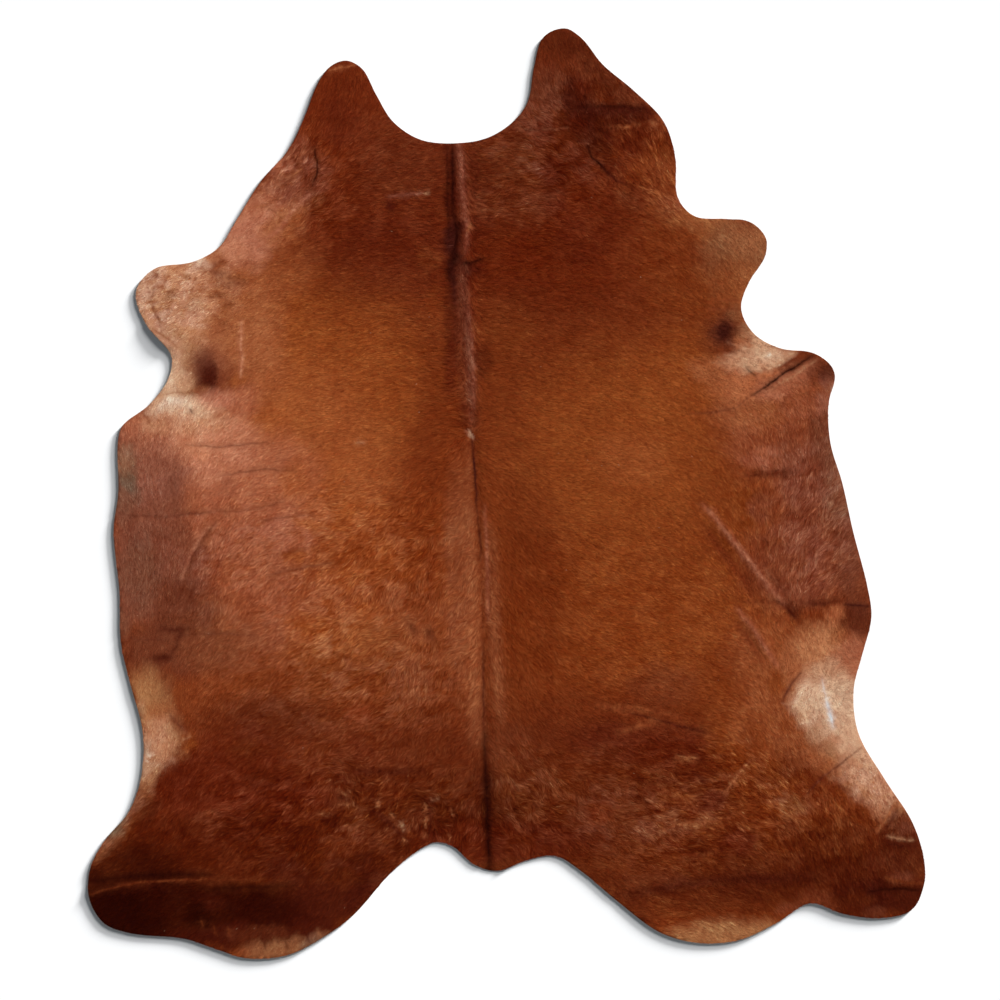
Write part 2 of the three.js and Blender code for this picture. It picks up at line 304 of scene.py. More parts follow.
marksWithPaintedShading = {
    "body": {"areas": [
        (-44, 30, 25, 24, 0, 0.8, 1, "amber"),
        (-50, 2, 21, 28, 0, 0.75, 1, "gold"),
        (30, 10, 26, 24, 0, 0.9, 1, "amber"),
        (34, -27, 27, 19, 0, 1, 0.8, "copper"),
        (-46, -24, 27, 15, 0, 0.8, 0.95, "bronze"),
        (-26, -30, 10, 19, 0, 0.9, 0.6, "bronze"),
        (-31, -16, 13, 5, -5, 0.9, 0.4, "ochre"),
        (-38, -39, 12, 9, 20, 0.9, 0.7, "fallow"),
        (-20, -21, 5, 9, 0, 1, 0.7, "russet"),
        (-14, 14, 8, 26, 0, 1, 0.8, "backBrown"),
        (5, -25, 8, 28, 0, 1, 0.8, "backBrown"),
        (1, 40.6, 6, 6, 0, 1, 0.9, "sienna"),
        (37, -45.6, 8, 5, 0, 1, 0.6, "umber"),
        (-52, -10, 6, 5, 0, 1, 0.7, "roseTan"),
        (30, 8, 8, 6, 0, 1, 0.6, "gold"),
        (-11.5, -20, 3.4, 24, 0, 1, 0.6, "dustyBack"),
        (-40, -48, 34, 9, 0, 1, 0.7, "dustBrown"),
        (-22, -38, 9, 18, 0, 1, 0.4, "dustBrown"),
        (-60, -36, 9, 5, 0, 1, 0.7, "dustBrown"),
        (0, -66, 75, 13, 0, 1, 0.9, "umberRed"),
        (-56, -54, 15, 6, 0, 1, 0.7, "cocoa"),
        (-20, -84, 55, 12, 0, 0.9, 0.85, "lowRed"),
        (18, -56, 30, 10, 0, 1, 0.4, "redBrown"),
        (-36.8, -20.6, 2.6, 2.2, 0, 1, 0.6, "copper"),
    ], "lines": [
        ("tan", 0.6, 0.3, 0, [(-35.6, 12), (-33.2, 12.1)]),
    ]},
    "neck": {"areas": [
        (-2, 77, 66, 36, -5, 0.9, 1, "redBrown"),
        (-29, 56, 17, 8, 0, 1.2, 0.4, "darkRed"),
        (12, 55, 28, 8, -3, 1, 0.5, "garnet"),
        (12, 62, 18, 14, -20, 0.9, 0.6, "garnet"),
        (17.5, 60, 6, 6, 0, 1, 0.5, "darkRed"),
        (11, 75.6, 3.4, 9, 0, 1, 0.8, "darkRed"),
        (-38, 92, 13, 14, 0, 0.7, 0.4, "garnet"),
        (-40, 88, 5, 5, 0, 1, 0.5, "darkRed"),
        (22, 93, 15, 15, 0, 0.8, 0.5, "umber"),
        (0, 75, 12, 12, 0, 1, 0.8, "umber"),
        (-26, 80, 10, 12, 0, 1.2, 0.5, "umber"),
        (7, 92, 6, 8, -20, 1, 0.7, "duskBrown"),
        (3, 80, 5, 4, 0, 1, 0.6, "duskBrown"),
        (19, 79, 3.6, 5, 0, 1, 0.4, "duskBrown"),
        (35, 74, 7, 10, 0, 0.9, 0.8, "russet"),
        (36.5, 72, 3.6, 7, 0, 1, 0.6, "bronze"),
        (42, 67.5, 5, 2.6, -10, 1, 0.6, "rosewood"),
        (28, 66, 10, 9.5, 0, 1, 0.5, "redBrown"),
        (43, 56, 14, 11, 0, 1, 0.8, "russet"),
        (16.5, 92, 4.4, 6.5, 12, 0.9, 0.85, "oxblood"),
        (22, 87.6, 4, 2.4, 0, 1, 0.6, "oxblood"),
        (23, 83.6, 3, 3, 0, 1, 0.6, "oxblood"),
        (14, 108, 7, 5, 0, 1, 0.7, "bark"),
        (26, 90.8, 9, 1.7, 0, 1, 0.8, "oxblood"),
        (30, 88.4, 5, 1, 0, 1, 0.6, "oxblood"),
        (18.6, 85.6, 2.4, 4.6, 15, 1, 0.65, "oxblood"),
        (-50.5, 76, 6.5, 8, 30, 0.9, 0.85, "mauveBrown"),
        (-61, 63.5, 10, 5.6, 50, 0.9, 0.95, "roseTan"),
        (-62, 61, 7, 4, 40, 0.9, 0.7, "rose"),
        (-58, 60, 4, 3, 40, 1, 0.7, "brightRose"),
        (-65.5, 57.4, 5, 2.2, 30, 0.9, 0.9, "pinkTan"),
        (-55, 54, 9, 7, 0, 1, 0.6, "bronze"),
        (-63, 56.4, 6.6, 4.2, 15, 0.8, 1, "rose"),
        (-52.6, 63.4, 6, 4, 50, 1, 0.8, "caramel"),
        (24, 99, 8, 3.6, -50, 1, 0.7, "bark"),
        (46, 64.6, 8, 2.6, -3, 1, 0.8, "fallow"),
        (-54.3, 77.5, 2.6, 3, 30, 1, 0.8, "rosewoodLight"),
        (-27.8, 68.2, 1.6, 1.6, 0, 1, 0.7, "darkRed"),
        (2, 79.5, 4, 4, 0, 1, 0.5, "dustBrown"),
        (8, 78.4, 2, 4, 0, 1, 0.5, "mauveBrown"),
        (18, 78.6, 2.8, 2.6, 0, 1, 0.7, "darkRed"),
        (30.6, 81.6, 3, 3, 0, 1, 0.6, "darkRed"),
        (29, 70, 3.4, 3, 0, 1, 0.7, "dustBrown"),
        (48, 60, 2.6, 3, 0, 1, 0.6, "amber"),
        (10.4, 76.4, 2.4, 4, 0, 1, 0.7, "darkRed"),
        (9.4, 95.5, 3, 3, 0, 1, 0.5, "cocoa"),
        (-53.3, 74, 2, 2, 0, 1, 0.5, "dustBrown"),
        (-19, 55.3, 2.6, 3, 0, 1, 0.8, "darkRusset"),
        (-17, 44.7, 2, 4, 0, 1, 0.8, "russet"),
        (-52, 80, 2, 2.6, 30, 1, 0.8, "mauveBrown"),
        (-45, 69.3, 2.2, 2, 0, 1, 0.8, "umberRed"),
        (38.7, 81.6, 2, 3.4, 0, 1, 0.7, "umberRed"),
        (-9.1, 64.3, 2.2, 2, 0, 1, 0.7, "darkRed"),
        (8.9, 86.1, 2, 2, 0, 1, 0.75, "darkRed"),
        (16.5, 86.5, 2.2, 2, 0, 1, 0.6, "darkRed"),
        (12, 67.6, 2, 1.8, 0, 1, 0.8, "darkRed"),
        (18.1, 95.5, 2.2, 2, 0, 1, 0.8, "darkRed"),
    ], "lines": [
        # the cheek crease, the fold across the neck and the crease below it are drawn dark, as painted
        # shade, and the light lines beside them lighter, as painted light
        ("caramel", 0.9, 0.3, 0.8, [(-42, 100), (-39, 100.7), (-36, 101.3)]),
        ("black", 0.9, 0.3, -1, [(-45.6, 81.8), (-44.9, 78.6), (-44.9, 75.8), (-46, 72.6)]),
        ("tan", 0.7, 0.4, 0.4, [(-46.5, 71.9), (-45.6, 70.9)]),
        ("rose", 0.5, 0.6, 0.5, [(-46, 71.2), (-51, 66.7), (-53.3, 62.9), (-57.8, 59.8)]),
        ("dun", 0.5, 0.3, -0.4, [(-60, 68.3), (-56.4, 67.6), (-52.2, 65)]),
        ("caramel", 0.5, 0.3, 0.2, [(-50.8, 75), (-48, 77)]),
        ("mauve", 0.6, 0.4, 0.3, [(-28, 70.4), (-24, 70.8), (-20, 71)]),
        ("tan", 0.7, 0.3, 0.3, [(-19.6, 71), (-18.4, 71.3)]),
        ("oxblood", 0.8, 0.8, 0, [(-28, 68.8), (-27.3, 67.1)]),
        ("oxblood", 0.6, 0.6, -1, [(19.3, 90.8), (27, 91), (34, 90.5)]),
        ("black", 0.6, 0.45, -0.6, [(16.6, 91), (21, 91.7), (27, 91.7), (33, 91.2)]),
        ("bronze", 0.35, 0.4, 0.5, [(24, 86.8), (28, 86.6), (34, 87.6)]),
        ("caramel", 0.8, 0.5, 0.4, [(34.4, 88), (35.2, 86.6)]),
        ("black", 0.95, 0.4, -1.2, [(19.3, 82), (20.2, 79.6), (22.4, 77.6), (25.4, 74.6)]),
        ("oxblood", 0.7, 0.35, -0.6, [(22.6, 77.6), (25.6, 74.4), (28.8, 72.8)]),
        ("duskBrown", 0.6, 0.4, -0.3, [(1, 86.6), (8, 86), (14.5, 86.4)]),
    ]},
    "dorsal line": {"areas": [
        (-13, 68, 1.6, 18, 0, 1, 0.7, "oxblood"),
        (-12.8, 58.5, 2.4, 6, -8, 1, 0.85, "plumBlack"),
        (-13, 44, 1.8, 14, -6, 1, 0.5, "oxblood"),
        (-12.6, 53.8, 1.8, 3, 0, 1, 0.7, "black"),
        (-8.6, 52.8, 3.4, 2, 0, 1, 0.6, "darkRed"),
        (-12.6, 76, 4.4, 8, 0, 1, 0.4, "darkRed"),
        (-12.7, 33, 1.9, 9, -6, 1, 0.75, "darkRed"),
        (-5.4, 31, 1.8, 4, 0, 1, 0.5, "oxblood"),
        (-7.4, 61, 2, 4.4, 0, 1, 0.6, "darkRed"),
        (-9, 53.6, 2.4, 1.3, 0, 1, 0.8, "oxblood"),
        (-4.6, -76, 4.6, 11, 3, 1, 0.65, "oxblood"),
        (1, -60, 5, 5, -40, 1, 0.25, "dustyBack"),
        (3, -70, 6, 8, -40, 1, 0.4, "dun"),
    ], "lines": [
        # the dark lines dip beside the raised ridge and along the back and are drawn as painted shade,
        # partly over the back's own dark hair; the ridge lines rise and are drawn lighter, as painted
        # light on them
        ("black", 0.9, 0.55, -1.4, [(-12.8, 83), (-12.7, 76), (-12.8, 70), (-12.6, 66)]),
        ("black", 0.55, 0.4, -0.4, [(-14.2, 83), (-14, 76), (-14, 69), (-13.8, 62)]),
        ("black", 0.8, 0.6, -1.2, [(-12.6, 66), (-11.6, 62), (-12.1, 58), (-12.5, 54)]),
        ("ridgeMauve", 0.95, 0.8, 1.3, [(-11.3, 83), (-10.8, 78), (-10.3, 72), (-10, 67.6), (-9.8, 65)]),
        ("ridgeMauve", 0.7, 0.6, 0.6, [(-9.8, 65), (-9.2, 62), (-9.4, 59), (-9.8, 57)]),
        ("darkRed", 0.6, 1.2, -0.6, [(-7.8, 82), (-7.4, 76), (-7.6, 70)]),
        ("ridgePlum", 0.9, 1.4, 1.2, [
            (-10.6, 55), (-10, 47), (-9.2, 39), (-8.7, 31), (-8.3, 23), (-8.1, 16)]),
        ("ridgeMauve", 0.6, 0.5, 0.6, [(-9.3, 44), (-8.5, 37), (-7.8, 30), (-7.6, 20)]),
        ("plumBlack", 0.75, 0.9, -1, [(-12.9, 54.4), (-12.4, 49), (-12, 44)]),
        ("cocoa", 0.6, 1, -0.8, [(-12, 44), (-11.6, 37), (-11.2, 30), (-10.6, 24), (-10.2, 17)]),
        ("black", 0.9, 0.6, -0.8, [(-10.6, 54.4), (-8.4, 54.4), (-5.8, 55.6)]),
        ("caramel", 0.7, 0.35, 0, [(-8.5, 63.8), (-9.3, 61.8)]),
        ("cream", 0.95, 0.3, 0, [(-8.9, 15), (-7.8, 13)]),
        ("black", 0.9, 0.7, -1, [(-5.3, -56), (-5.2, -61), (-5, -66), (-4.8, -71.3)]),
        ("black", 1, 1.1, -1.8, [(-4.9, -66), (-4.6, -73), (-4.4, -79.5), (-3.9, -89.5)]),
        ("backTan", 0.6, 1.9, 0.5, [(-8.8, -4), (-8.3, -16), (-7.9, -30), (-7.7, -49), (-7.2, -59)]),
        ("backTan", 0.55, 1.6, 0.4, [(-4.1, -8.6), (-3.2, -25), (-2.5, -39), (-1.2, -54)]),
        ("backTan", 0.3, 1, 0.4, [(-9.1, 12.7), (-8.8, 3.3), (-8.6, -4.3)]),
        ("plumBlack", 0.95, 0.45, -1.2, [(-8.4, 13), (-7.8, 9.6), (-7.5, 5.6), (-7.3, 1.6), (-7, -4.3)]),
        ("plumBlack", 0.7, 0.4, -0.9, [(-7, -4.3), (-6.3, -10), (-6.1, -15.7)]),
        ("crease", 0.3, 0.3, -0.4, [(-6.1, -15.7), (-5.8, -21.3), (-5.7, -27.5), (-5.6, -34.6)]),
        ("plumBlack", 0.65, 0.4, -0.7, [(-5.6, -34.6), (-5.5, -44), (-5.5, -49.7), (-5.4, -56)]),
        ("rosewoodLight", 0.55, 0.5, 0.8, [(-5.1, -3), (-4.7, -12), (-4.4, -22), (-4.3, -30)]),
    ]},
    "left flank": {"areas": [
        (-80, 11.5, 13, 9.5, 0, 0.8, 1, "dustyRose"),
        (-68.5, 10.5, 9.5, 8.5, 0, 0.9, 0.95, "brightRose"),
        (-58, 4, 12, 10, 0, 1, 0.7, "roseTan"),
        (-60, -7, 14, 5, 5, 1, 0.95, "roseTan"),
        (-84, 2, 9.5, 9.5, 0, 0.8, 0.8, "mauve"),
        (-90, 1, 3, 11, 0, 0.6, 0.7, "slate"),
        (-89.6, 3.4, 2.2, 3, 0, 0.8, 0.8, "greenGrey"),
        (-90.6, 8, 2.4, 3.4, 0, 0.9, 0.8, "ashTan"),
        (-71.5, -1, 4, 5, 0, 1, 0.7, "roseTan"),
        (-91, -30, 2.6, 4, 0, 1, 0.6, "slate"),
        (-78.6, 0, 2.4, 6, -8, 0.8, 0.6, "plum"),
        (-62, -22, 15, 16, 0, 1, 0.7, "rosewood"),
        (-72, -14, 9, 13, 0, 0.9, 0.6, "rosewood"),
        (-84, -17, 13, 14, 0, 0.7, 0.95, "plum"),
        (-87, -19, 4.5, 9, 0, 0.8, 0.7, "greyMauve"),
        (-79, -26, 5, 8, -8, 0.9, 0.85, "darkPlum"),
        (-73, -28, 6, 7, 10, 1, 0.7, "darkPlum"),
        (-79, -37, 14, 6, 0, 0.9, 0.85, "darkPlum"),
        (-68, -35, 10, 8, 0, 1, 0.5, "dun"),
        (-50.2, 3.3, 3.4, 5, 0, 1, 0.7, "gold"),
        (-72.5, -28.7, 3, 3, 0, 1, 0.8, "darkPlum"),
        (-68.5, -2.7, 2.6, 2, 0, 1, 0.6, "roseTan"),
        (-47, -31.6, 5.4, 3, 0, 1, 0.7, "copper"),
        (-33.5, -27.5, 3, 3, 0, 1, 0.6, "copper"),
        (-90, -39.4, 2, 2, 0, 1, 0.6, "cocoa"),
        (-72.7, -14.2, 2, 3, 0, 1, 0.7, "plum"),
        (-73.2, -7.6, 1.6, 2, 0, 1, 0.7, "rosewoodLight"),
        (-47, -7.2, 3, 2, 0, 1, 0.8, "gold"),
        (-66, 1.4, 2.6, 2, 0, 1, 0.7, "rosewood"),
        (-50, -15.2, 2.8, 1.8, 0, 1, 0.8, "copper"),
    ], "lines": [
        # the crease lines and the oblique valley are drawn darker, as painted shade in them, and the
        # ridge beside that valley lighter, as painted light on it
        ("crease", 0.6, 0.25, -0.6, [(-76, 11.6), (-69.4, 11), (-63, 11.4), (-56.2, 12.2)]),
        ("crease", 0.55, 0.25, -0.6, [(-67.5, 4.2), (-63, 5), (-57, 5.8), (-50, 5.4)]),
        ("crease", 0.6, 0.3, -1, [(-92, -4.9), (-86, -5.3), (-80, -5.5)]),
        ("crease", 0.7, 0.4, -1, [(-80.5, -5.6), (-76, -4.9), (-70, -4.4)]),
        ("crease", 0.45, 0.3, -1, [(-70, -4.4), (-64, -4.2), (-59, -3.6), (-53, -2)]),
        ("crease", 0.5, 0.25, -0.5, [(-58, -6.6), (-52.4, -5.5), (-46, -5)]),
        ("crease", 0.45, 0.25, -0.5, [(-54.5, -14.5), (-51, -13.8), (-47.4, -13.3)]),
        ("crease", 0.5, 0.3, -0.5, [(-55.5, -19.2), (-48.8, -17.6), (-41.3, -16.4)]),
        ("crease", 0.5, 0.3, -0.6, [(-79.4, -34), (-74.6, -33.2), (-66.6, -33.2), (-59.2, -33.6)]),
        ("crease", 0.5, 0.3, -0.6, [(-91.7, -34), (-85.5, -34.6), (-79, -34.6)]),
        ("dustyRose", 0.65, 0.6, 0.8, [(-70.6, -7.6), (-72.7, -11), (-75, -15), (-76.8, -20)]),
        ("cocoa", 0.75, 0.5, -1.4, [
            (-68.8, -6.8), (-71.5, -10.6), (-73.6, -13.9), (-75.3, -18.3), (-76.6, -23)]),
        ("cocoa", 0.65, 0.45, -0.9, [(-73.6, -20), (-75.2, -25.4), (-76.6, -28.4)]),
        ("darkPlum", 0.5, 0.8, 0, [(-79.2, 4), (-78.8, 0), (-78.4, -4.3)]),
        ("oxblood", 0.75, 0.9, 0, [(-82.4, -32), (-78.6, -32.4), (-74.6, -31.6)]),
        ("oxblood", 0.6, 0.7, 0, [(-78.4, -35.4), (-76.6, -32.6)]),
        ("oxblood", 0.8, 1, -0.6, [(-83.6, -39), (-81.5, -39), (-79, -38.6)]),
        ("oxblood", 0.5, 0.6, -0.4, [(-79.6, -38), (-77.7, -35.8)]),
    ]},
    "left foreleg": {"areas": [
        (-66, 42, 12, 14, 0, 0.9, 0.9, "caramel"),
        (-78, 45.5, 12, 12, 0, 0.8, 1, "pinkTan"),
        (-68, 43, 4, 6, 0, 1, 0.7, "caramel"),
        (-84, 45, 4.5, 9, 0, 0.8, 0.7, "paleRose"),
        (-67, 50.5, 5, 2.2, -15, 0.8, 0.5, "dun"),
        (-62, 31, 9, 10, 0, 1, 0.7, "caramel"),
        (-77, 30, 5.4, 6.4, 0, 0.9, 0.95, "tan"),
        (-79.6, 27, 3.4, 4.6, 0, 1, 0.95, "cream"),
        (-70, 29, 5.4, 5.6, 0, 1, 0.7, "mauveBrown"),
        (-67.5, 26.4, 6, 3, 5, 1, 0.6, "umber"),
        (-71.1, 28.2, 2.9, 4.4, 5, 0.9, 0.9, "elbow"),
        (-70.6, 27, 2.4, 3.4, 0, 1, 0.85, "oxblood"),
        (-78.6, 20.4, 6.6, 3.2, 3, 0.6, 0.85, "cream"),
        (-78.8, 20.8, 3.6, 2, 0, 1, 0.5, "pale"),
        (-71, 20.1, 3.2, 2.3, 0, 0.7, 1, "cream"),
        (-66, 20, 8, 4, 25, 1, 0.7, "roseTan"),
        (-78, 16.6, 9, 2.8, 3, 1, 0.8, "pinkTan"),
        (-70.4, 17.4, 5, 3, 0, 1, 0.8, "pinkTan"),
        (-69, 22.6, 4, 2.4, 0, 1, 0.7, "rose"),
        (-89.6, 16.8, 3.4, 4, 0, 1, 0.7, "roseTan"),
        (-80.5, 34.6, 4, 4, 0, 1, 0.8, "paleRose"),
        (-72, 55.4, 4.4, 2, 22, 1, 0.8, "pinkTan"),
        (-83.4, 51.3, 1.4, 0.8, 30, 0.8, 0.8, "dun"),
        (-81.8, 48.8, 1.2, 0.9, -30, 0.8, 0.7, "bronze"),
        (-80.4, 50.2, 1, 0.8, 0, 0.8, 0.6, "bronze"),
        (-79.2, 47, 1.5, 0.9, 10, 0.8, 0.75, "dun"),
        (-74.8, 51.2, 1.2, 0.8, 0, 0.8, 0.6, "dun"),
        (-73.4, 48.6, 1, 0.7, 0, 0.8, 0.5, "bronze"),
        (-72.3, 53.4, 1.4, 1.1, 0, 0.8, 0.6, "dun"),
        (-69.4, 52.2, 1.3, 1.1, 0, 0.8, 0.7, "umber"),
        (-68, 54.6, 2.4, 1.3, 10, 0.8, 0.75, "umber"),
        (-63.4, 49.8, 2.2, 1.2, -10, 0.8, 0.4, "umber"),
        (-68.6, 46.6, 1.8, 0.9, 0, 0.8, 0.6, "dun"),
        (-65.6, 44, 1.6, 1, 40, 0.9, 0.5, "dun"),
        (-67, 40.6, 1.4, 0.9, 0, 0.9, 0.4, "dun"),
        (-64.2, 56.4, 3.4, 2.6, 30, 1, 0.9, "brightRose"),
        (-73, 55, 3.4, 1.8, 20, 1, 0.8, "paleRose"),
        (-82.9, 22.2, 2.4, 1.8, 0, 1, 0.9, "sand"),
        (-85, 51.3, 1.6, 1.6, 0, 1, 0.7, "paleRose"),
        (-69.7, 56.2, 1.9, 1.6, 0, 1, 0.85, "caramel"),
        (-71.3, 50.2, 2.2, 2.6, 0, 1, 0.6, "caramel"),
        (-72, 24.7, 1.8, 1, 0, 1, 0.7, "dun"),
        (-67.8, 53.4, 1.6, 1.2, 0, 1, 0.7, "bronze"),
        (-75.4, 25.2, 2, 1.2, 0, 1, 0.7, "tan"),
        (-91, 14, 1.6, 2, 0, 1, 0.5, "mauve"),
        (-79.6, 24, 2.6, 1.4, 0, 1, 0.7, "sand"),
        (-76.6, 26.2, 1.8, 2, 0, 1, 0.7, "sand"),
        (-72.4, 19.3, 2.6, 1.8, 0, 1, 0.7, "cream"),
        (-78, 19.2, 3, 1.4, 0, 1, 0.7, "cream"),
        (-63.4, 26.6, 2, 1.6, 0, 1, 0.7, "gold"),
        (-73.2, 44.7, 2.4, 2, 0, 1, 0.55, "tan"),
        (-79.4, 37.8, 2.4, 2, 0, 1, 0.55, "tan"),
    ], "lines": [
        # the dun lines dip into creases on the pale hair and are drawn as painted shade in them; the rose
        # lines rise and are drawn lighter, as painted light
        ("dun", 0.6, 0.3, -0.4, [(-84.8, 48.7), (-84.4, 45.4), (-82.2, 41), (-81.4, 38)]),
        ("dun", 0.8, 0.4, -1, [(-83.6, 39.2), (-80.5, 37), (-77.2, 34.2)]),
        ("paleRose", 0.6, 0.4, 0.8, [(-82, 36.8), (-79.6, 35.2)]),
        ("brightRose", 0.7, 0.4, 0.5, [(-62.6, 41), (-62.8, 36), (-62.6, 31.6), (-63, 27.4)]),
        ("dun", 0.5, 0.35, -0.8, [(-82.4, 23.2), (-78.4, 23.9), (-72.5, 23.8)]),
        ("oxblood", 0.6, 0.3, 0, [(-75, 20.4), (-74.2, 18.6)]),
        ("dun", 0.6, 0.4, -0.6, [(-86.2, 19.6), (-85, 18), (-84, 16)]),
        ("dun", 0.6, 0.35, -0.4, [(-83.4, 49.5), (-84, 46), (-83, 42.6), (-81.4, 40)]),
        ("dun", 0.3, 0.6, -0.3, [(-69.8, 54), (-67.2, 51.6), (-65, 50.4)]),
    ]},
    "left hind leg": {"areas": [
        (-66.5, -70, 22, 14.5, 0, 0.9, 0.9, "darkRed"),
        (-83, -49.8, 8.4, 4.4, -72, 0.8, 0.95, "fawn"),
        (-81, -52, 3.6, 3.4, 0, 0.9, 0.6, "caramel"),
        (-81.8, -59, 5, 6, -20, 0.9, 0.82, "pinkTan"),
        (-78, -57.4, 3, 2.2, 0, 0.9, 0.7, "tan"),
        (-84.5, -63, 3, 4.4, -20, 1, 0.6, "paleRose"),
        (-84.6, -66.6, 2.4, 3.6, -25, 1, 0.7, "tan"),
        (-71, -84, 27, 8, 3, 0.9, 0.85, "wineBlack"),
        (-88, -91.6, 13, 8, 0, 0.9, 0.75, "pitch"),
        (-76, -99.5, 33, 8.4, 0, 0.7, 0.95, "pitch"),
        (-91, -100.5, 10, 6, -20, 0.9, 0.9, "black"),
        (-70, -96.6, 4, 2, 0, 1, 0.5, "oxblood"),
        (-42, -95, 16, 7, 30, 0.9, 0.85, "oxblood"),
        (-57, -104.4, 22, 3.4, 3, 1, 0.7, "oxblood"),
        (-53, -107.8, 9, 2.2, 8, 1.2, 0.8, "strawBrown"),
        (-45, -105.6, 4, 1.6, 25, 1, 0.7, "tawny"),
        (-39, -82, 5, 3.6, 0, 1, 0.6, "umber"),
        (-91, -77.6, 10, 2.6, 53, 0.9, 0.9, "tawny"),
        (-34, -95, 6, 4, 40, 1, 0.8, "oxblood"),
        (-58, -98.6, 9, 4.4, 0, 1, 0.8, "pitch"),
        (-41, -90.6, 6, 2.4, 0, 1, 0.6, "lowRed"),
        (-52, -89.6, 6, 3, 0, 1, 0.7, "oxblood"),
        (-46.5, -106.4, 3, 1.4, 20, 1, 0.5, "greenGrey"),
        (-85.2, -75, 2.2, 3.4, -37, 1, 0.8, "cocoa"),
        (-86.2, -79.4, 2.6, 2.4, 0, 1, 0.8, "wineBlack"),
        (-77.4, -54.2, 1.4, 2.2, 40, 1, 0.8, "dun"),
        (-76.8, -60.6, 2.2, 2.4, 0, 1, 0.8, "dun"),
        (-86.6, -51.4, 1.8, 2.6, 0, 1, 0.7, "tan"),
        (-72.7, -100.2, 3.4, 1.6, 0, 1, 0.7, "black"),
        (-81.5, -92.8, 4, 1.6, 0, 1, 0.6, "pitch"),
        (-55, -103.4, 3, 1.4, 0, 1, 0.7, "cocoa"),
        (-71.5, -78.2, 4, 3, 0, 1, 0.6, "umber"),
        (-88, -77, 1.6, 3.2, -37, 1, 0.5, "dun"),
        (-58.8, -76.5, 3.4, 3, 0, 1, 0.7, "wineBlack"),
        (-80.4, -45.4, 2, 2.4, 0, 1, 0.8, "dun"),
        (-85.3, -60.4, 1.8, 2, 0, 1, 0.5, "ashTan"),
        (-90.6, -77.2, 1.6, 3, -37, 1, 0.5, "greyMauve"),
        (-87.9, -72.9, 1.6, 2.4, -37, 1, 0.6, "greyMauve"),
        (-62, -104.6, 4, 1.8, 0, 1, 0.7, "cocoa"),
        (-63.3, -89.2, 4, 1.6, 0, 1, 0.6, "wineBlack"),
        (-57.8, -68.2, 4, 3, 0, 1, 0.6, "wineBlack"),
        (-45.5, -72.2, 3, 2.4, 0, 1, 0.7, "darkRed"),
        (-30.4, -91.4, 2.4, 2, 0, 1, 0.7, "cocoa"),
        (-75, -58, 1.8, 2, 0, 1, 0.8, "sienna"),
        (-85.6, -75.4, 1.8, 3, -37, 1, 0.7, "bark"),
        (-98, -91, 2.6, 2, 0, 1, 0.7, "pitch"),
        (-93.4, -80.2, 2, 3.2, -37, 1, 0.7, "greenGrey"),
        (-62, -60, 3.4, 2.4, 0, 1, 0.8, "lowRed"),
        (-41.3, -77.4, 3, 2, 0, 1, 0.8, "wineBlack"),
        (-93.3, -80.5, 2.2, 1.8, 0, 1, 0.7, "greenGrey"),
        (-90.9, -77.9, 1.8, 1.6, 0, 1, 0.4, "greenGrey"),
        (-44.6, -104.9, 1.8, 1.4, 0, 1, 0.5, "slate"),
        (-79.8, -59, 2.2, 1.8, 0, 1, 0.6, "pinkTan"),
        (-73.9, -98.2, 2, 1.6, 0, 1, 0.8, "black"),
        (-95.4, -83.2, 1.8, 1.4, 0, 1, 0.6, "duskBrown"),
        (-81.7, -91.6, 2, 1.6, 0, 1, 0.6, "pitch"),
        (-63.3, -102.7, 2.2, 1.6, 0, 1, 0.8, "oxblood"),
    ], "lines": [
        # the fold along the lower edge is drawn black above, as painted shade, and rust on its ridge
        # below, as painted light; the short strokes along the edge that rise are lighter and those that
        # dip darker in the same way
        ("crease", 0.6, 0.45, -0.6, [(-80.5, -51), (-78, -54), (-75.6, -56.6)]),
        ("tan", 0.4, 0.3, 0.4, [(-76.8, -58.4), (-74.6, -57.4)]),
        ("pale", 0.6, 0.35, 0, [(-85.2, -61.4), (-84.2, -62), (-83.4, -61.6)]),
        ("pale", 0.5, 0.3, 0, [(-85.6, -63), (-84.4, -63.6)]),
        ("black", 0.85, 0.8, -1.2, [(-98.6, -91.6), (-90, -90.7), (-80, -90), (-70, -90.2)]),
        ("rust", 0.7, 0.35, 1.2, [
            (-98.8, -94.7), (-92, -93), (-87, -91.9), (-80, -91.4), (-72, -91.3), (-60, -91.3)]),
        ("black", 0.6, 0.7, -0.6, [(-70, -93.4), (-60, -93), (-50, -92.6)]),
        ("rust", 0.5, 0.4, 0.3, [(-69.5, -102), (-68.6, -104.4)]),
        ("rust", 0.5, 0.4, 0.3, [(-66, -102.6), (-65.4, -105)]),
        ("rust", 0.5, 0.4, 0.3, [(-72.4, -100.6), (-71.8, -103)]),
        ("tawny", 0.7, 0.5, 0.4, [(-60, -106.8), (-59.4, -109)]),
        ("oxblood", 0.6, 0.45, -0.4, [(-57.6, -105.4), (-57, -108)]),
        ("strawBrown", 0.7, 0.5, 0.4, [(-55, -105.4), (-54.4, -108.4)]),
        ("oxblood", 0.6, 0.45, -0.4, [(-52.4, -105.4), (-51.6, -108)]),
        ("strawBrown", 0.7, 0.5, 0.4, [(-50, -104.8), (-49, -107.8)]),
        ("oxblood", 0.6, 0.4, -0.4, [(-47.6, -104), (-46.4, -106.6)]),
        ("tawny", 0.7, 0.5, 0.4, [(-44.6, -103), (-43.2, -105.6)]),
        ("oxblood", 0.5, 0.4, -0.3, [(-42.4, -101.6), (-41, -104)]),
    ]},
    "rump": {"areas": [
        (-18, -75, 21, 10, 0, 0.9, 0.6, "bark"),
        (2, -82, 24, 5, 0, 0.9, 0.75, "darkRed"),
        (-29, -61, 28, 8, 8, 1, 0.4, "wine"),
        (33, -59, 18, 4.6, -5, 1, 0.75, "darkRed"),
        (44, -64, 8, 4, 0, 1, 0.4, "darkRed"),
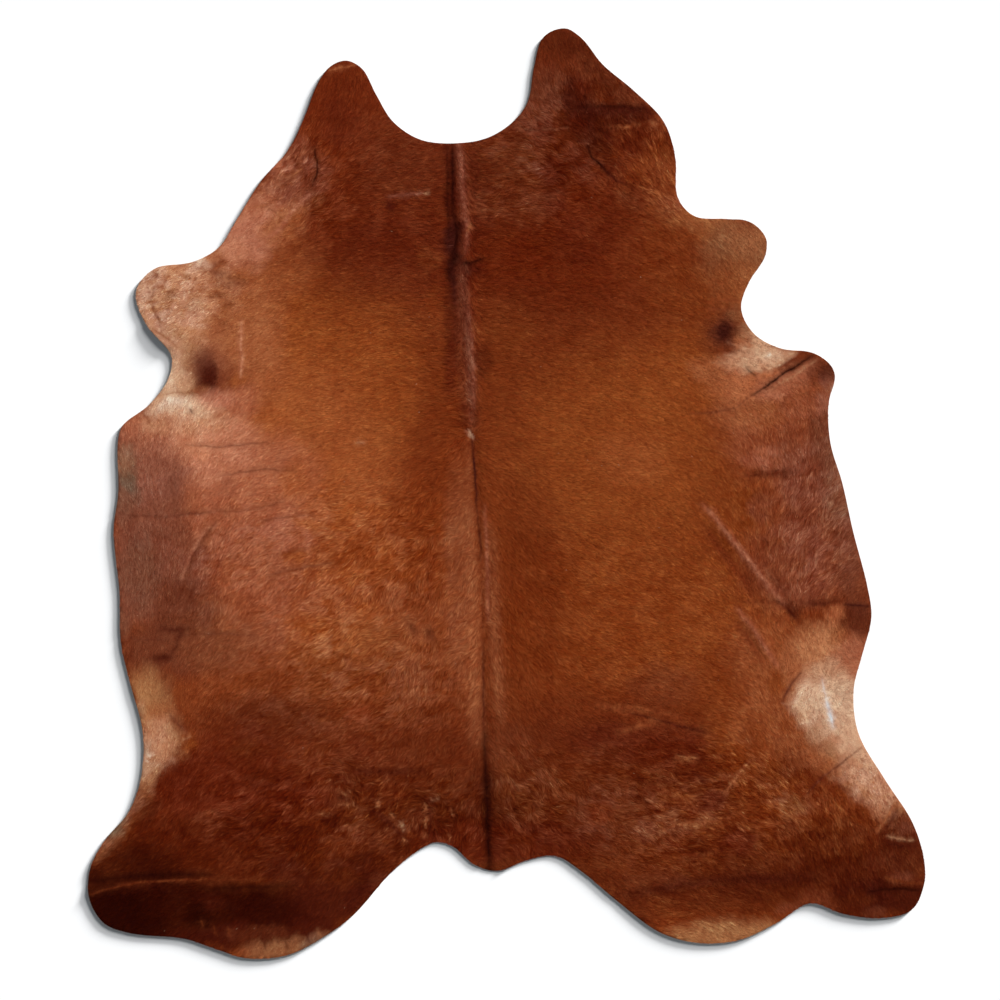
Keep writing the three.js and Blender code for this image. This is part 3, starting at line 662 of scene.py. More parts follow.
        (40, -77, 14, 8, 10, 1, 0.5, "dun"),
        (41, -72, 5, 2, -10, 1, 0.5, "sienna"),
        (35, -81, 8, 5, 0, 1, 0.4, "umber"),
        (26, -76, 9, 7, 0, 1, 0.4, "duskBrown"),
        (34, -91, 9, 4, 0, 1, 0.5, "umber"),
        (56, -83, 6, 5, 0, 1, 0.5, "lowRed"),
        (62.5, -64.5, 7, 5, 0, 1, 0.8, "umberRed"),
        (67, -72, 7, 3.4, -20, 1, 0.4, "bronze"),
        (52, -93, 22, 7, 3, 1, 0.75, "lowRed"),
        (27, -96, 13, 4, -42, 1, 0.8, "lowRed"),
        (51.5, -104.4, 12.5, 3.4, 6, 0.9, 0.95, "fawn"),
        (61, -87, 14.5, 6, 0, 1, 0.5, "lowRed"),
        (75, -92, 20, 5, 3, 1, 0.7, "wineBlack"),
        (82, -89, 12, 5, 0, 0.9, 0.8, "wineBlack"),
        (82, -98, 10, 5, -8, 0.9, 0.9, "wineBlack"),
        (73, -97, 5, 3.4, 0, 1, 0.8, "umber"),
        (40.3, -91.6, 3, 1.6, 0, 1, 0.7, "umber"),
        (40, -60.6, 11, 5, -5, 0.7, 0.5, "redBrown"),
        (42, -83.2, 4, 2.4, 0, 1, 0.7, "redBrown"),
        (55, -82.4, 4, 2.6, 0, 1, 0.8, "darkRed"),
        (22.4, -75.6, 3, 2.4, 0, 1, 0.7, "garnet"),
        (61.6, -61.8, 2.6, 2, 0, 1, 0.8, "umber"),
        (53.4, -93.3, 4, 1.6, 0, 1, 0.6, "wineBlack"),
        (45, -83.2, 2.8, 1.8, 0, 1, 0.8, "lowRed"),
        (-24.7, -83.6, 2.8, 2, 0, 1, 0.8, "bark"),
        (48.2, -73, 3.4, 2, 0, 1, 0.8, "darkRed"),
        (66.4, -77.4, 3.4, 2, -10, 1, 0.7, "umberRed"),
        (35.8, -73.9, 2.6, 1.8, 0, 1, 0.7, "redBrown"),
        (24, -61.1, 2.6, 2, 0, 1, 0.6, "umber"),
        (52.4, -67.7, 2.4, 2, 0, 1, 0.7, "redBrown"),
        (-34.9, -51.6, 2.2, 1.8, 0, 1, 0.6, "warmMauve"),
        (44.6, -75, 2.4, 1.8, 0, 1, 0.8, "redBrown"),
        (-27.3, -70.8, 2.2, 1.8, 0, 1, 0.7, "umber"),
    ], "lines": [
        # lines here that rise are drawn lighter, as painted light on them, and those that dip darker, as
        # painted shade, over the coat's own curls
        ("caramel", 0.7, 0.4, 0.3, [(-30.6, -72.7), (-29.9, -74)]),
        ("caramel", 0.6, 0.3, 0.3, [(-27.3, -75.8), (-26.6, -76.7)]),
        ("tan", 0.6, 0.35, 0.4, [(-25, -77.6), (-24.2, -79.8)]),
        ("caramel", 0.6, 0.3, 0.3, [(-24.5, -81.4), (-24, -82.4)]),
        ("tan", 0.6, 0.35, 0.3, [(-18, -72.4), (-16.2, -72)]),
        ("caramel", 0.6, 0.4, 0.3, [(-19.5, -73.2), (-18.8, -74.6)]),
        ("caramel", 0.6, 0.35, 0.4, [(-19, -76.2), (-19.3, -79.2)]),
        ("caramel", 0.6, 0.3, 0.3, [(-19.5, -81.2), (-18.6, -81)]),
        ("caramel", 0.5, 0.3, 0.2, [(-13.6, -80.5), (-13.4, -82)]),
        ("caramel", 0.5, 0.3, 0.2, [(-13, -74.8), (-12.4, -76)]),
        ("oxblood", 0.6, 0.7, -0.8, [(-32, -74.6), (-28.5, -77.2), (-24.7, -81.2)]),
        ("oxblood", 0.6, 0.5, -0.6, [(-18.2, -73.6), (-18, -78), (-18.2, -80.4)]),
        ("oxblood", 0.5, 0.8, -0.4, [(-36, -65.4), (-27.5, -65.8), (-20, -65.6)]),
        ("oxblood", 0.6, 0.9, 0, [(-23, -30.8), (-21.6, -33)]),
        ("oxblood", 0.5, 0.9, 0, [(-18.8, -31.8), (-17.4, -34.6)]),
        ("darkRed", 0.6, 1.6, 0, [(-36.5, -57), (-35, -61), (-30, -61)]),
        ("dun", 0.6, 0.4, 0.4, [(-40.6, -68.4), (-38.2, -67.2), (-35.8, -68.4)]),
        ("dun", 0.6, 0.4, 0.4, [(-40, -70.3), (-38.2, -71), (-36.5, -70)]),
        ("oxblood", 0.6, 0.7, 0, [(-40, -72), (-37, -72.2)]),
        ("dun", 0.6, 0.4, 0.3, [(-44.6, -75.3), (-42.7, -76.2), (-40.8, -75.3)]),
        ("dun", 0.5, 0.4, 0.3, [(-41, -73.6), (-36, -73.4), (-34.6, -74.6)]),
        ("oxblood", 0.8, 0.4, -0.9, [(29, -51.8), (33.7, -53), (39.2, -54.5), (47.5, -56.6)]),
        ("bronze", 0.5, 0.7, 0.6, [(21.7, -50.2), (34, -51.4), (41, -52.6)]),
        ("bronze", 0.5, 0.9, 0.3, [(26, -56.6), (31.6, -55), (36.3, -53.5)]),
        ("oxblood", 0.65, 1.3, -0.8, [(27, -95.2), (36.3, -93.5), (46.3, -91.8), (55.7, -91), (73, -91)]),
        ("caramel", 0.8, 0.35, 1.2, [(51.6, -71), (52.8, -69), (54.8, -66.4), (57.6, -63)]),
        ("caramel", 0.6, 0.3, 0.4, [(50, -66.3), (52, -66.8), (54.6, -66.6)]),
        ("fawn", 0.5, 0.4, 0.3, [(40.8, -62), (43, -62.6), (45.4, -62.4)]),
        ("caramel", 0.6, 0.5, 0.4, [(36.3, -80.2), (39.2, -78.6), (43.4, -78), (48.6, -77.6)]),
        ("bronze", 0.6, 0.8, 0.4, [(33, -69), (37, -70), (41, -72.2), (44.4, -74)]),
        ("bronze", 0.6, 0.8, 0.3, [(40, -62.5), (45, -62.9)]),
        ("rust", 0.6, 0.9, 0.3, [(42.2, -86.6), (45.8, -85.7), (49.3, -84.7)]),
    ]},
    "right flank": {"areas": [
        (60, -4, 16, 24, 0, 1, 0.6, "sienna"),
        (64, 14, 12, 11, 0, 1, 0.8, "warmMauve"),
        (72, 7, 9, 12, 0, 0.9, 0.85, "mauveBrown"),
        (74, -6, 9, 15, 0, 0.9, 0.9, "mauveBrown"),
        (79, -2, 4.2, 18, 6, 0.9, 0.8, "ashMauve"),
        (75.5, 11, 3.6, 6, 0, 1, 0.6, "greyMauve"),
        (80.8, -12.6, 3, 7, 5, 0.9, 0.8, "plum"),
        (68, -17, 11, 10, 0, 0.9, 0.7, "mauveBrown"),
        (82.5, -22, 5, 7, 0, 0.9, 0.7, "darkPlum"),
        (84, -29.4, 4.2, 3.4, -20, 0.9, 0.6, "elbow"),
        (60.5, 8, 4, 2.2, 0, 1, 0.6, "rosewoodLight"),
        (63.5, 4.6, 4, 1, 0, 1, 0.5, "oxblood"),
        (68, -27.4, 2.6, 1.8, -30, 1, 0.6, "oxblood"),
        (82, -30.6, 4.6, 3.4, -10, 1.2, 0.6, "cocoa"),
        (73.4, -25.4, 4.6, 1.4, 0, 1.2, 0.45, "cocoa"),
        (77.7, -29, 1.6, 2.6, -10, 1, 0.9, "tanBrown"),
        (81.7, -12, 2.4, 4, 0, 1, 0.7, "darkPlum"),
        (60.4, -3.4, 3, 4, 0, 1, 0.6, "mauveBrown"),
        (79.8, -4.5, 2.2, 2, 0, 1, 0.8, "greyMauve"),
        (76.5, 25.7, 2, 1.8, 0, 1, 0.3, "greenGrey"),
    ], "lines": [
        # the two long ridges are drawn lighter, as painted light on them, and the valleys and creases
        # beside them darker, as painted shade
        ("wine", 0.75, 0.7, -0.7, [(56, 4.2), (59.6, 4.5), (63.2, 4.9), (67.4, 5.1)]),
        ("dustyRose", 0.75, 0.7, 1.5, [
            (46.4, -2.6), (49, -5.4), (52.6, -10), (57, -15.6), (61.8, -21.6), (65.4, -25.8)]),
        ("redBrown", 0.75, 1.3, -1.2, [(46.8, -8), (50.5, -13), (54.8, -18.5), (58.4, -23)]),
        ("darkPlum", 0.7, 0.6, -0.8, [(60.6, -17), (63.5, -20.6), (66, -23.8)]),
        ("rosewoodLight", 0.75, 0.65, 1.4, [(54.6, -27.3), (58, -31.5), (61, -35.8), (64, -40.6)]),
        ("redBrown", 0.7, 0.9, -0.9, [(53.8, -30), (56.7, -33.6), (60, -39)]),
        ("rust", 0.6, 0.4, -0.5, [(54, -25.4), (60, -25.8), (64.6, -25.6)]),
        ("oxblood", 0.75, 0.45, -0.8, [(63.4, -25.2), (66.4, -27), (68.4, -29.4), (69, -31)]),
        ("oxblood", 0.6, 0.6, -0.5, [(71, -26), (75, -26.2), (78, -25.4)]),
        ("plumBlack", 0.85, 0.4, -0.8, [(79.8, -26.2), (83.4, -26.5), (87, -26.5)]),
    ]},
    "right foreleg": {"areas": [
        (55, 56, 8.5, 8.5, 0, 0.9, 0.9, "strawBrown"),
        (57, 60, 5, 4, 0, 1, 0.4, "caramel"),
        (50, 55, 3, 4, 0, 1, 0.4, "dun"),
        (55.5, 46.5, 7, 8.5, 0, 0.9, 0.8, "bronze"),
        (56, 49.6, 5, 4, 0, 1, 0.6, "fallow"),
        (46, 46, 10, 9, 0, 1, 0.5, "sienna"),
        (46, 31, 10, 7, 0, 1, 0.7, "amber"),
        (52.5, 37, 6, 6, 0, 1, 0.7, "umber"),
        (51.6, 38.4, 2.6, 3.6, 0, 1, 0.75, "elbow"),
        (51.9, 38.2, 1.5, 1.9, 0, 1, 0.9, "plumBlack"),
        (58.2, 36.6, 3.6, 2.8, -25, 0.9, 0.8, "tan"),
        (59.8, 31.9, 6.8, 3, 3, 0.9, 0.95, "sand"),
        (61.4, 32.8, 4.2, 1.6, 6, 1, 0.85, "cream"),
        (49.5, 29.4, 5, 3, 0, 1, 0.7, "caramel"),
        (55.4, 30.6, 5, 2.6, -5, 1, 0.9, "pinkTan"),
        (60, 35.2, 4, 2.6, 0, 1, 0.8, "sand"),
        (60, 26, 10, 5, 10, 1, 0.95, "honeyBrown"),
        (66, 26.6, 8, 3.4, 35, 0.9, 0.8, "rosewoodLight"),
        (69, 31.4, 5, 1.5, 30, 0.9, 0.7, "umberRed"),
        (70, 20, 11, 7, 25, 0.9, 0.7, "warmMauve"),
        (75, 16.4, 3.6, 3.4, 0, 1, 0.8, "darkPlum"),
        (57.6, 18.6, 8, 3.6, 0, 1, 0.8, "caramel"),
        (76.4, 28.8, 1.8, 2.2, 0, 1, 0.75, "plumBlack"),
        (75, 30, 3.6, 3.4, 0, 1, 0.5, "elbow"),
        (77.8, 23.6, 0.8, 3.4, -10, 0.9, 0.8, "pale"),
        (57.6, 30.9, 2.4, 1.8, 0, 1, 0.9, "sand"),
        (76, 26.6, 1.8, 2.2, 0, 1, 0.6, "mauve"),
        (75.4, 21.2, 2.4, 2.4, 0, 1, 0.5, "mauve"),
        (55.7, 35.8, 2.2, 1.6, 0, 1, 0.7, "tanBrown"),
        (54.8, 42.4, 2.6, 2, 0, 1, 0.7, "tawny"),
        (76.5, 28.2, 1.8, 1.8, 0, 1, 0.7, "cocoa"),
    ], "lines": [
        # the double crease is drawn black and red brown in its hollows, as painted shade, and sand and
        # tan on its lips, as painted light; the same holds for the smaller creases here
        ("black", 1, 0.45, -1, [(72.6, 33), (68.4, 30.2), (64.8, 27.8), (61.4, 25.4), (58, 23.3)]),
        ("sand", 0.7, 0.3, 0.5, [(69, 34.4), (66, 32.2), (63, 30.6), (60, 29.6)]),
        ("crease", 0.5, 0.35, -0.6, [(58.3, 23.5), (54, 20.3), (48.6, 19.3), (43.4, 19)]),
        ("tan", 0.6, 0.35, 0.8, [(73.4, 31.6), (68, 28), (62.6, 24.6)]),
        ("sand", 0.8, 0.35, 1, [(69.2, 33.5), (66, 31.2), (62.4, 29.6), (58.4, 28.8)]),
        ("redBrown", 0.85, 0.55, -0.8, [(70.8, 33.9), (66.6, 31), (63.4, 28.8)]),
        ("black", 0.7, 0.3, -0.6, [(56.4, 30.2), (57.4, 29), (59, 27.8)]),
        ("pale", 0.8, 0.35, 0, [(61.4, 32.4), (62.6, 33)]),
        ("umber", 0.7, 0.4, -0.6, [(47.6, 43.8), (51.7, 43.6), (55.5, 43.6)]),
        ("umber", 0.6, 0.3, -0.6, [(49, 45.6), (52.7, 45.8), (55.8, 45.6)]),
        ("sand", 0.3, 0.3, 0.2, [(52.4, 35.8), (56, 34.6), (60, 33.6)]),
        ("sand", 0.6, 0.3, 0.2, [(51.6, 33), (55, 32.4), (59, 31.6)]),
        ("tan", 0.5, 0.3, 0.2, [(48.6, 31), (52, 30.6), (55.6, 29.8)]),
    ]},
    "right hind leg": {"areas": [
        (57, -56, 9, 12, 0, 1, 0.8, "sienna"),
        (66, -51.4, 11, 12, -20, 1, 0.7, "bronze"),
        (62, -38, 9, 9, 0, 1, 0.8, "bronze"),
        (74.6, -38.2, 7, 6.8, -10, 0.9, 0.95, "honey"),
        (69.2, -41, 3.8, 8, -8, 0.8, 0.9, "caramel"),
        (81.6, -38.5, 4.6, 5.4, 0, 0.9, 0.8, "roseTan"),
        (74.8, -51.8, 8.8, 5.6, -52, 0.5, 1, "cream"),
        (80.4, -48, 3.6, 5.2, 0, 0.9, 0.75, "cream"),
        (76, -42.4, 4.6, 3.4, 0, 1, 0.8, "sand"),
        (80.5, -56.4, 7.6, 4.6, -55, 0.8, 0.95, "cream"),
        (76.4, -58.6, 2.2, 1.6, 0, 0.9, 0.7, "tanBrown"),
        (71.6, -55, 4, 3.6, -50, 1, 0.5, "caramel"),
        (87, -66, 13, 5.6, -55, 0.8, 0.95, "pinkTan"),
        (84, -61.6, 5.6, 3, -50, 1, 0.45, "cream"),
        (82, -66.9, 5.8, 3.4, -50, 1, 0.8, "pinkTan"),
        (74.4, -62.4, 4.6, 3, -35, 1, 0.8, "caramel"),
        (78.5, -83, 14.5, 7, 0, 1, 0.8, "lowRed"),
        (92, -84.5, 6, 8.5, 0, 0.9, 0.5, "darkRed"),
        (92, -95, 12.5, 4.3, 0, 0.8, 0.9, "oxblood"),
        (92.5, -77, 4.4, 3.8, 0, 1, 0.7, "dun"),
        (94.5, -85.5, 7, 8, 0, 0.9, 0.9, "bark"),
        (72.6, -51.6, 2.2, 2.8, -52, 1, 0.95, "cream"),
        (77.8, -44.8, 2.8, 2.2, 0, 1, 0.6, "cream"),
        (68.2, -45.8, 1.6, 3, -20, 1, 0.6, "caramel"),
        (95.2, -78.4, 2.4, 2.4, 0, 1, 0.8, "duskBrown"),
        (76.3, -60.6, 2.4, 2, -50, 1, 0.7, "tan"),
        (71, -37, 2.4, 3, 0, 1, 0.7, "honey"),
        (94.5, -91, 2.6, 1.6, 0, 1, 0.8, "duskBrown"),
        (84, -95.6, 3.4, 2, 0, 1, 0.8, "lowRed"),
        (78.6, -33.6, 3, 2, 0, 1, 0.7, "bronze"),
        (63.8, -45, 1.6, 3.4, 0, 1, 0.8, "sienna"),
        (88, -74, 2.4, 2, 0, 1, 0.5, "caramel"),
        (79.6, -88, 5, 2.6, 0, 1, 0.7, "wineBlack"),
        (87.4, -99.4, 3, 1.4, 0, 1, 0.5, "duskBrown"),
        (73.2, -57.5, 2, 2, 0, 1, 0.6, "tan"),
        (67, -98.4, 3, 1.4, 0, 1, 0.5, "duskBrown"),
        (61.6, -61.8, 2.6, 2, 0, 1, 0.8, "russet"),
        (67.8, -73.2, 3.4, 1.8, -20, 1, 0.7, "tawny"),
    ], "lines": [
        # creases are drawn darker, as painted shade, and the ridges and lips beside them lighter, as
        # painted light
        ("crease", 0.9, 0.45, -1.3, [(69.6, -42), (67.6, -44.8), (65.7, -48), (65.5, -49.4)]),
        ("blueWhite", 0.4, 0.3, 0.2, [(74.5, -43.6), (75.6, -48.6)]),
        ("blueWhite", 0.85, 0.5, 0.3, [(75.6, -48.8), (76.4, -52), (77.2, -55)]),
        ("sand", 0.7, 0.3, 0, [(65.4, -49.6), (67.2, -49.8), (69.5, -50.6)]),
        ("crease", 0.75, 0.35, -1.4, [(84, -60), (80, -63.2), (75.6, -66.3), (70.4, -71.5)]),
        ("caramel", 0.8, 0.4, 1, [(91.8, -73.4), (89.8, -76.7), (88, -79.8)]),
        ("oxblood", 0.55, 0.6, -0.8, [(92.8, -74.6), (90.8, -78), (88.8, -80.6)]),
        ("tan", 0.8, 0.3, 1, [(90, -81), (93, -81.7), (96.4, -82)]),
        ("oxblood", 0.5, 0.7, -0.5, [(89.6, -82.6), (93, -83.2), (97, -83.4)]),
        ("rust", 0.9, 0.6, 1.2, [(89.5, -91.2), (93, -91.5), (98.5, -92.4)]),
        ("black", 0.8, 0.4, -1.5, [(84.8, -94.2), (89.5, -93.6), (94, -93.4), (98.5, -94)]),
    ]},
}

# where dusty and bright hair lie in soft patches, and where light locks swirl over dark ones:
# as areas, with a strength alone

patchy = [
    (-46, -16, 30, 18, 12, 0.8, 0.4), (-28, -27, 22, 26, 0, 0.8, 0.4), (-39, -49, 31, 14, 0, 0.9, 0.55),
    (-39, -77, 26, 14, 0, 0.9, 1), (-16, -77, 18, 12, 0, 0.9, 0.7), (38, -74, 28, 18, 0, 0.9, 0.9),
    (22, 88, 16, 16, 0, 0.9, 0.5), (4, 74, 14, 13, 0, 0.9, 0.5), (-46, 72, 12, 12, 0, 0.9, 0.4),
    (68, -2, 16, 26, 0, 0.9, 0.5), (30, -30, 34, 20, 0, 1, 0.35), (80, -80, 20, 16, 0, 0.9, 0.6),
    (-76, -4, 18, 32, 0, 0.9, 0.2), (30, 46, 30, 20, 0, 1, 0.2), (-30, 46, 26, 24, 0, 1, 0.2),
    (-76, 47, 14, 11, 10, 0.8, 0.6), (5, -73, 9, 14, 0, 0.9, 0.7), (-74, -80, 24, 24, 0, 0.9, 0.5),
    (60, -58, 12, 14, 0, 1, 0.4), (-5, 76, 50, 22, 0, 0.9, 0.3),
]
swirled = [
    (43, -74, 16, 12, 10, 0.8, 1), (62, -79, 18, 12, 0, 0.9, 0.7), (-39, -72, 16, 8, 0, 0.9, 0.8),
    (-22, -77, 12, 7, 0, 0.9, 0.8), (-20, -13, 6, 14, 0, 0.9, 0.4), (-48, 77, 8, 8, 0, 0.9, 0.7),
    (34, 80, 11, 14, 0, 0.9, 0.7), (72, -10, 12, 18, 0, 0.9, 0.7), (12, -78, 12, 9, 0, 0.9, 0.4),
    (68, -72, 16, 7, -30, 0.9, 0.6), (-64, -76, 15, 9, 0, 0.9, 0.6), (40, -97, 24, 8, 0, 0.9, 0.5),
    (-9.6, 32, 3, 26, -6, 0.9, 0.6), (5, -72, 8, 13, 0, 0.9, 0.6), (84, -88, 12, 8, 0, 0.9, 0.5),
    (0, 70, 56, 20, 0, 0.9, 0.25),
]

# where the coat is shorter, and where the hair curls, as areas with a strength

shortHaired = [
    (-76, 42, 17, 18, 0, 0.9, 0.45), (-80, 8, 14, 16, 0, 0.9, 0.25), (62, 30, 16, 10, 0, 0.9, 0.45),
    (77, -48, 12, 20, 0, 0.9, 0.45), (86, -66, 12, 10, -50, 0.9, 0.4), (-83, -56, 9, 14, 0, 0.9, 0.4),
    (-60, 64, 13, 9, 45, 0.9, 0.4), (55, 52, 10, 14, 0, 0.9, 0.3),
]
curly = [
    (-36, -20, 40, 30, 0, 0.9, 0.4), (-30, -76, 45, 20, 0, 0.8, 0.7), (20, -80, 45, 20, 0, 0.8, 0.4),
    (-20, -30, 15, 30, 0, 0.8, 0.5), (52, -76, 25, 14, 0, 0.9, 0.2), (68, -5, 14, 25, 0, 0.9, 0.4),
    (-45, 77, 14, 18, 0, 0.8, 0.5), (22, 88, 18, 18, 0, 0.8, 0.5), (10, 60, 25, 18, 0, 0.9, 0.3),
]

areas = [row for part in marksWithPaintedShading.values() for row in part["areas"]]
lines = [row for part in marksWithPaintedShading.values() for row in part["lines"]]


def areaTouch(x, y, row):
    # which points an area reaches, and how strongly
    midX, midY, long, wide, turn, soft, strength = row[:7]
    reach = max(long, wide) * (1 + soft / 2) * cm
    near = np.flatnonzero((np.abs(x - midX * cm) < reach) & (np.abs(y - midY * cm) < reach))
    angle = math.radians(turn)
    dx = x[near] / cm - midX
    dy = y[near] / cm - midY
    u = (dx * math.cos(angle) + dy * math.sin(angle)) / long
    v = (dy * math.cos(angle) - dx * math.sin(angle)) / wide
    away = np.hypot(u, v)
    return near, strength * ease((1 - away) / soft + 0.5)


def summed(x, y, rows):
    total = np.zeros(len(x))
    for row in rows:
        near, weight = areaTouch(x, y, row)
        total[near] += weight
    return total.clip(0, 1)


# creases, ridges and streaks, and the painted shade and painted light that their tones draw along them

lineSet = {
    "wander": 1.8 * mm,           # no line on the hide runs straight: how far it strays
    "wanderOver": 16 * mm,        # and over what length
    "atEnds": 0.35,               # strength left at a line's two ends
    "inkReach": 2.4,              # how far its colour shows, in half widths
    "inkUneven": ((0.15, 9 * mm),),    # how much its width varies, and over what length
    "inkStreaks": 0.15,           # how much the hair's streaks break it up
    "liftWider": 1.4,             # a crease bends the skin beyond its colour, by this factor
    "liftSpare": 2 * mm,          # and this much more
    "liftReach": 2.5,             # how far it bends it, in those widths
    "liftMost": 2 * mm,
    "fine": 1,                    # a line is fine, or at least thin, below these half widths
    "thin": 1.5,
    "hairOnFine": 0.3,            # share of its length that the hair has on such lines
    "hairOnThin": 0.55,
    "hairOnCore": 0.6,            # over this share of the half width
    "hairReach": 1.6,             # full length is back this far beside it, in centimetres
}


def wander(x, y):
    far, over = lineSet["wander"], lineSet["wanderOver"]
    return x + far * patches(x, y, over, 41), y + far * patches(x, y, over, 42)


def lineTouch(x, y, path, reach):
    # which points lie within reach of a line, how far off, and how far along it from 0 to 1
    path = np.array(path) * cm
    low = path.min(axis=0) - reach
    high = path.max(axis=0) + reach
    near = np.flatnonzero((x > low[0]) & (x < high[0]) & (y > low[1]) & (y < high[1]))
    px, py = x[near], y[near]
    lengths = np.hypot(*np.diff(path, axis=0).T)
    starts = np.concatenate(([0], np.cumsum(lengths)))
    away = np.full(len(near), reach)
    share = np.zeros(len(near))
    for a, b, length, start in zip(path, path[1:], lengths, starts):
        along = (b - a) / length
        t = ((px - a[0]) * along[0] + (py - a[1]) * along[1]).clip(0, length)
        gap = np.hypot(px - a[0] - t * along[0], py - a[1] - t * along[1])
        closer = gap < away
        away[closer] = gap[closer]
        share[closer] = (start + t[closer]) / starts[-1]
    hit = away < reach
    return near[hit], away[hit], share[hit]


def taper(share):
    # lines fade towards their ends
    atEnds = lineSet["atEnds"]
    return atEnds + (1 - atEnds) * np.sqrt(np.sin(np.pi * share.clip(0.001, 0.999)))


def lineLift(x, y):
    # small creases and ridges that the solid leaves out
    lift = np.zeros(len(x))
    x, y = wander(x, y)
    for _, _, half, rise, path in lines:
        if rise:
            wide = lineSet["liftWider"] * half * cm + lineSet["liftSpare"]
            hit, away, share = lineTouch(x, y, path, lineSet["liftReach"] * wide)
            lift[hit] += rise * mm * np.exp(-(away / wide) ** 2) * taper(share)
    return lift.clip(-lineSet["liftMost"], lineSet["liftMost"])


def lineShortening(x, y):
    # blades beside a thin line are shorter, so that it stays sharp, and so are short-haired areas
    factor = np.ones(len(x))
    bentX, bentY = wander(x, y)
    core, reach = lineSet["hairOnCore"], lineSet["hairReach"]
    for _, _, half, _, path in lines:
        if half < lineSet["thin"]:
            least = lineSet["hairOnFine" if half < lineSet["fine"] else "hairOnThin"]
            hit, away, share = lineTouch(bentX, bentY, path, (half + reach) * cm)
            here = least + (1 - least) * ease((away / cm - half * core) / reach)
            factor[hit] = np.minimum(factor[hit], here)
    return factor * (1 - summed(x, y, shortHaired))


# the way the hair lies: x, y, and where the tips point, in degrees from +X
# rows left of the dorsal line steer only the left half, and the others the right

hairLie = [
    (-18, 78, 180), (-32, 79, 184), (-46, 78, 235), (-38, 94, 268), (-56, 67, 222), (-18, 55, 180),
    (-39, 58, 186), (-63, 55, 205), (-82, 48, 215), (-18, 34, 181), (-42, 34, 187), (-65, 36, 205),
    (-76, 26, 250), (-18, 15, 186), (-42, 15, 192), (-63, 15, 208), (-77, 15, 245), (-88, 13, 285),
    (-18, -1, 222), (-37, -1, 198), (-56, -1, 207), (-70, -1, 232), (-80, -4, 265), (-89, -4, 300),
    (-16, -20, 240), (-30, -18, 228), (-46, -18, 205), (-63, -18, 215), (-74, -20, 245),
    (-81, -23, 268), (-89, -23, 295), (-13, -39, 245), (-30, -37, 225), (-46, -37, 212),
    (-63, -37, 212), (-77, -35, 232), (-87, -37, 250), (-12, -58, 240), (-30, -56, 220),
    (-46, -58, 212), (-65, -58, 215), (-78, -52, 265), (-87, -51, 290), (-12, -77, 238),
    (-28, -75, 215), (-44, -75, 230), (-61, -72, 205), (-75, -72, 238), (-89, -77, 228),
    (-37, -89, 225), (-56, -91, 210), (-75, -94, 200), (-94, -94, 215), (-46, -103, 225),
    (-63, -106, 235), (-7, 78, 0), (6, 78, -3), (22, 74, -15), (15, 100, -80), (22, 91, -55),
    (35, 81, -75), (-6, 55, 0), (13, 55, -5), (32, 60, -12), (48, 60, -40), (56, 55, -60),
    (-6, 34, -2), (13, 34, -5), (32, 36, -12), (46, 36, -22), (58, 35, -25), (65, 29, 10),
    (-5, 15, -8), (13, 15, -8), (32, 15, -12), (48, 17, -25), (60, 15, -75), (74, 15, -110),
    (-4, -1, -50), (13, -1, -12), (32, -1, -12), (48, -1, -30), (62, -4, -88), (75, -4, -140),
    (-3, -20, -72), (10, -20, -25), (32, -20, -12), (48, -20, -25), (64, -19, -85), (78, -20, -160),
    (-2, -39, -72), (10, -39, -30), (32, -39, -15), (51, -37, -10), (67, -35, -75), (81, -37, -40),
    (-2, -58, -62), (13, -58, -22), (32, -58, -15), (51, -58, -20), (67, -54, -65), (78, -51, -60),
    (1, -77, -50), (15, -75, -25), (34, -75, -22), (53, -75, -10), (69, -70, -55), (85, -68, -55),
    (20, -89, -28), (39, -91, -12), (58, -89, -35), (74, -87, -65), (91, -84, -75), (46, -103, -20),
    (65, -100, -50), (91, -96, -60),
]

# hair whorls, where it turns away from a middle: x, y, radius, and how far it winds, in degrees

whorls = [(75.4, -46, 7, 25), (-8.4, 14, 4, 10), (-38.4, -68, 4.5, 60), (-17, -76, 5, 40)]

# the dorsal line, from the tail to the neck: y and x

dorsal = [
    (-89, -4), (-63, -4.8), (-30, -5.6), (-1.5, -6.5), (13, -7.7), (27, -10.5), (55, -11.8), (83, -13.1),
]

ridge = {
    "from": 86, "to": 14,         # the raised mane along the neck and shoulders, in centimetres
    "fades": (4, 12),             # over this length at each of the two
    "beside": 1.9 * cm,           # how far it lies right of the dorsal line
    "half": 1.9 * cm,
    "turn": -96,                  # its hair lies towards the tail
    "hold": 2.6,                  # how firmly it turns the hair beside it
}

lieSet = {
    "reach": 9 * cm,              # how far a row steers the hair
    "whorlHold": 3,               # how firmly a whorl turns it
    "sway": ((0.14, 7 * cm), (0.12, 2.6 * cm)),    # how far hair strays, in radians, over what size
    "whirl": ((0.8, 2.6 * cm), (0.5, 1.3 * cm)),   # and where it curls
}


def mixed(x, y, layers, seed):
    # spots of several sizes on each other: how strong and how large they are
    return sum(
        strength * patches(x, y, size, seed + step) for step, (strength, size) in enumerate(layers))


def dorsalX(y):
    heights, places = np.array(dorsal).T
    return np.interp(y / cm, heights, places) * cm


def ridgeWeight(x, y):
    along = y / cm
    fadeFrom, fadeTo = ridge["fades"]
    ends = ease((along - ridge["to"]) / fadeTo) * ease((ridge["from"] - along) / fadeFrom)
    return ends * np.exp(-((x - dorsalX(y) - ridge["beside"]) / ridge["half"]) ** 2)


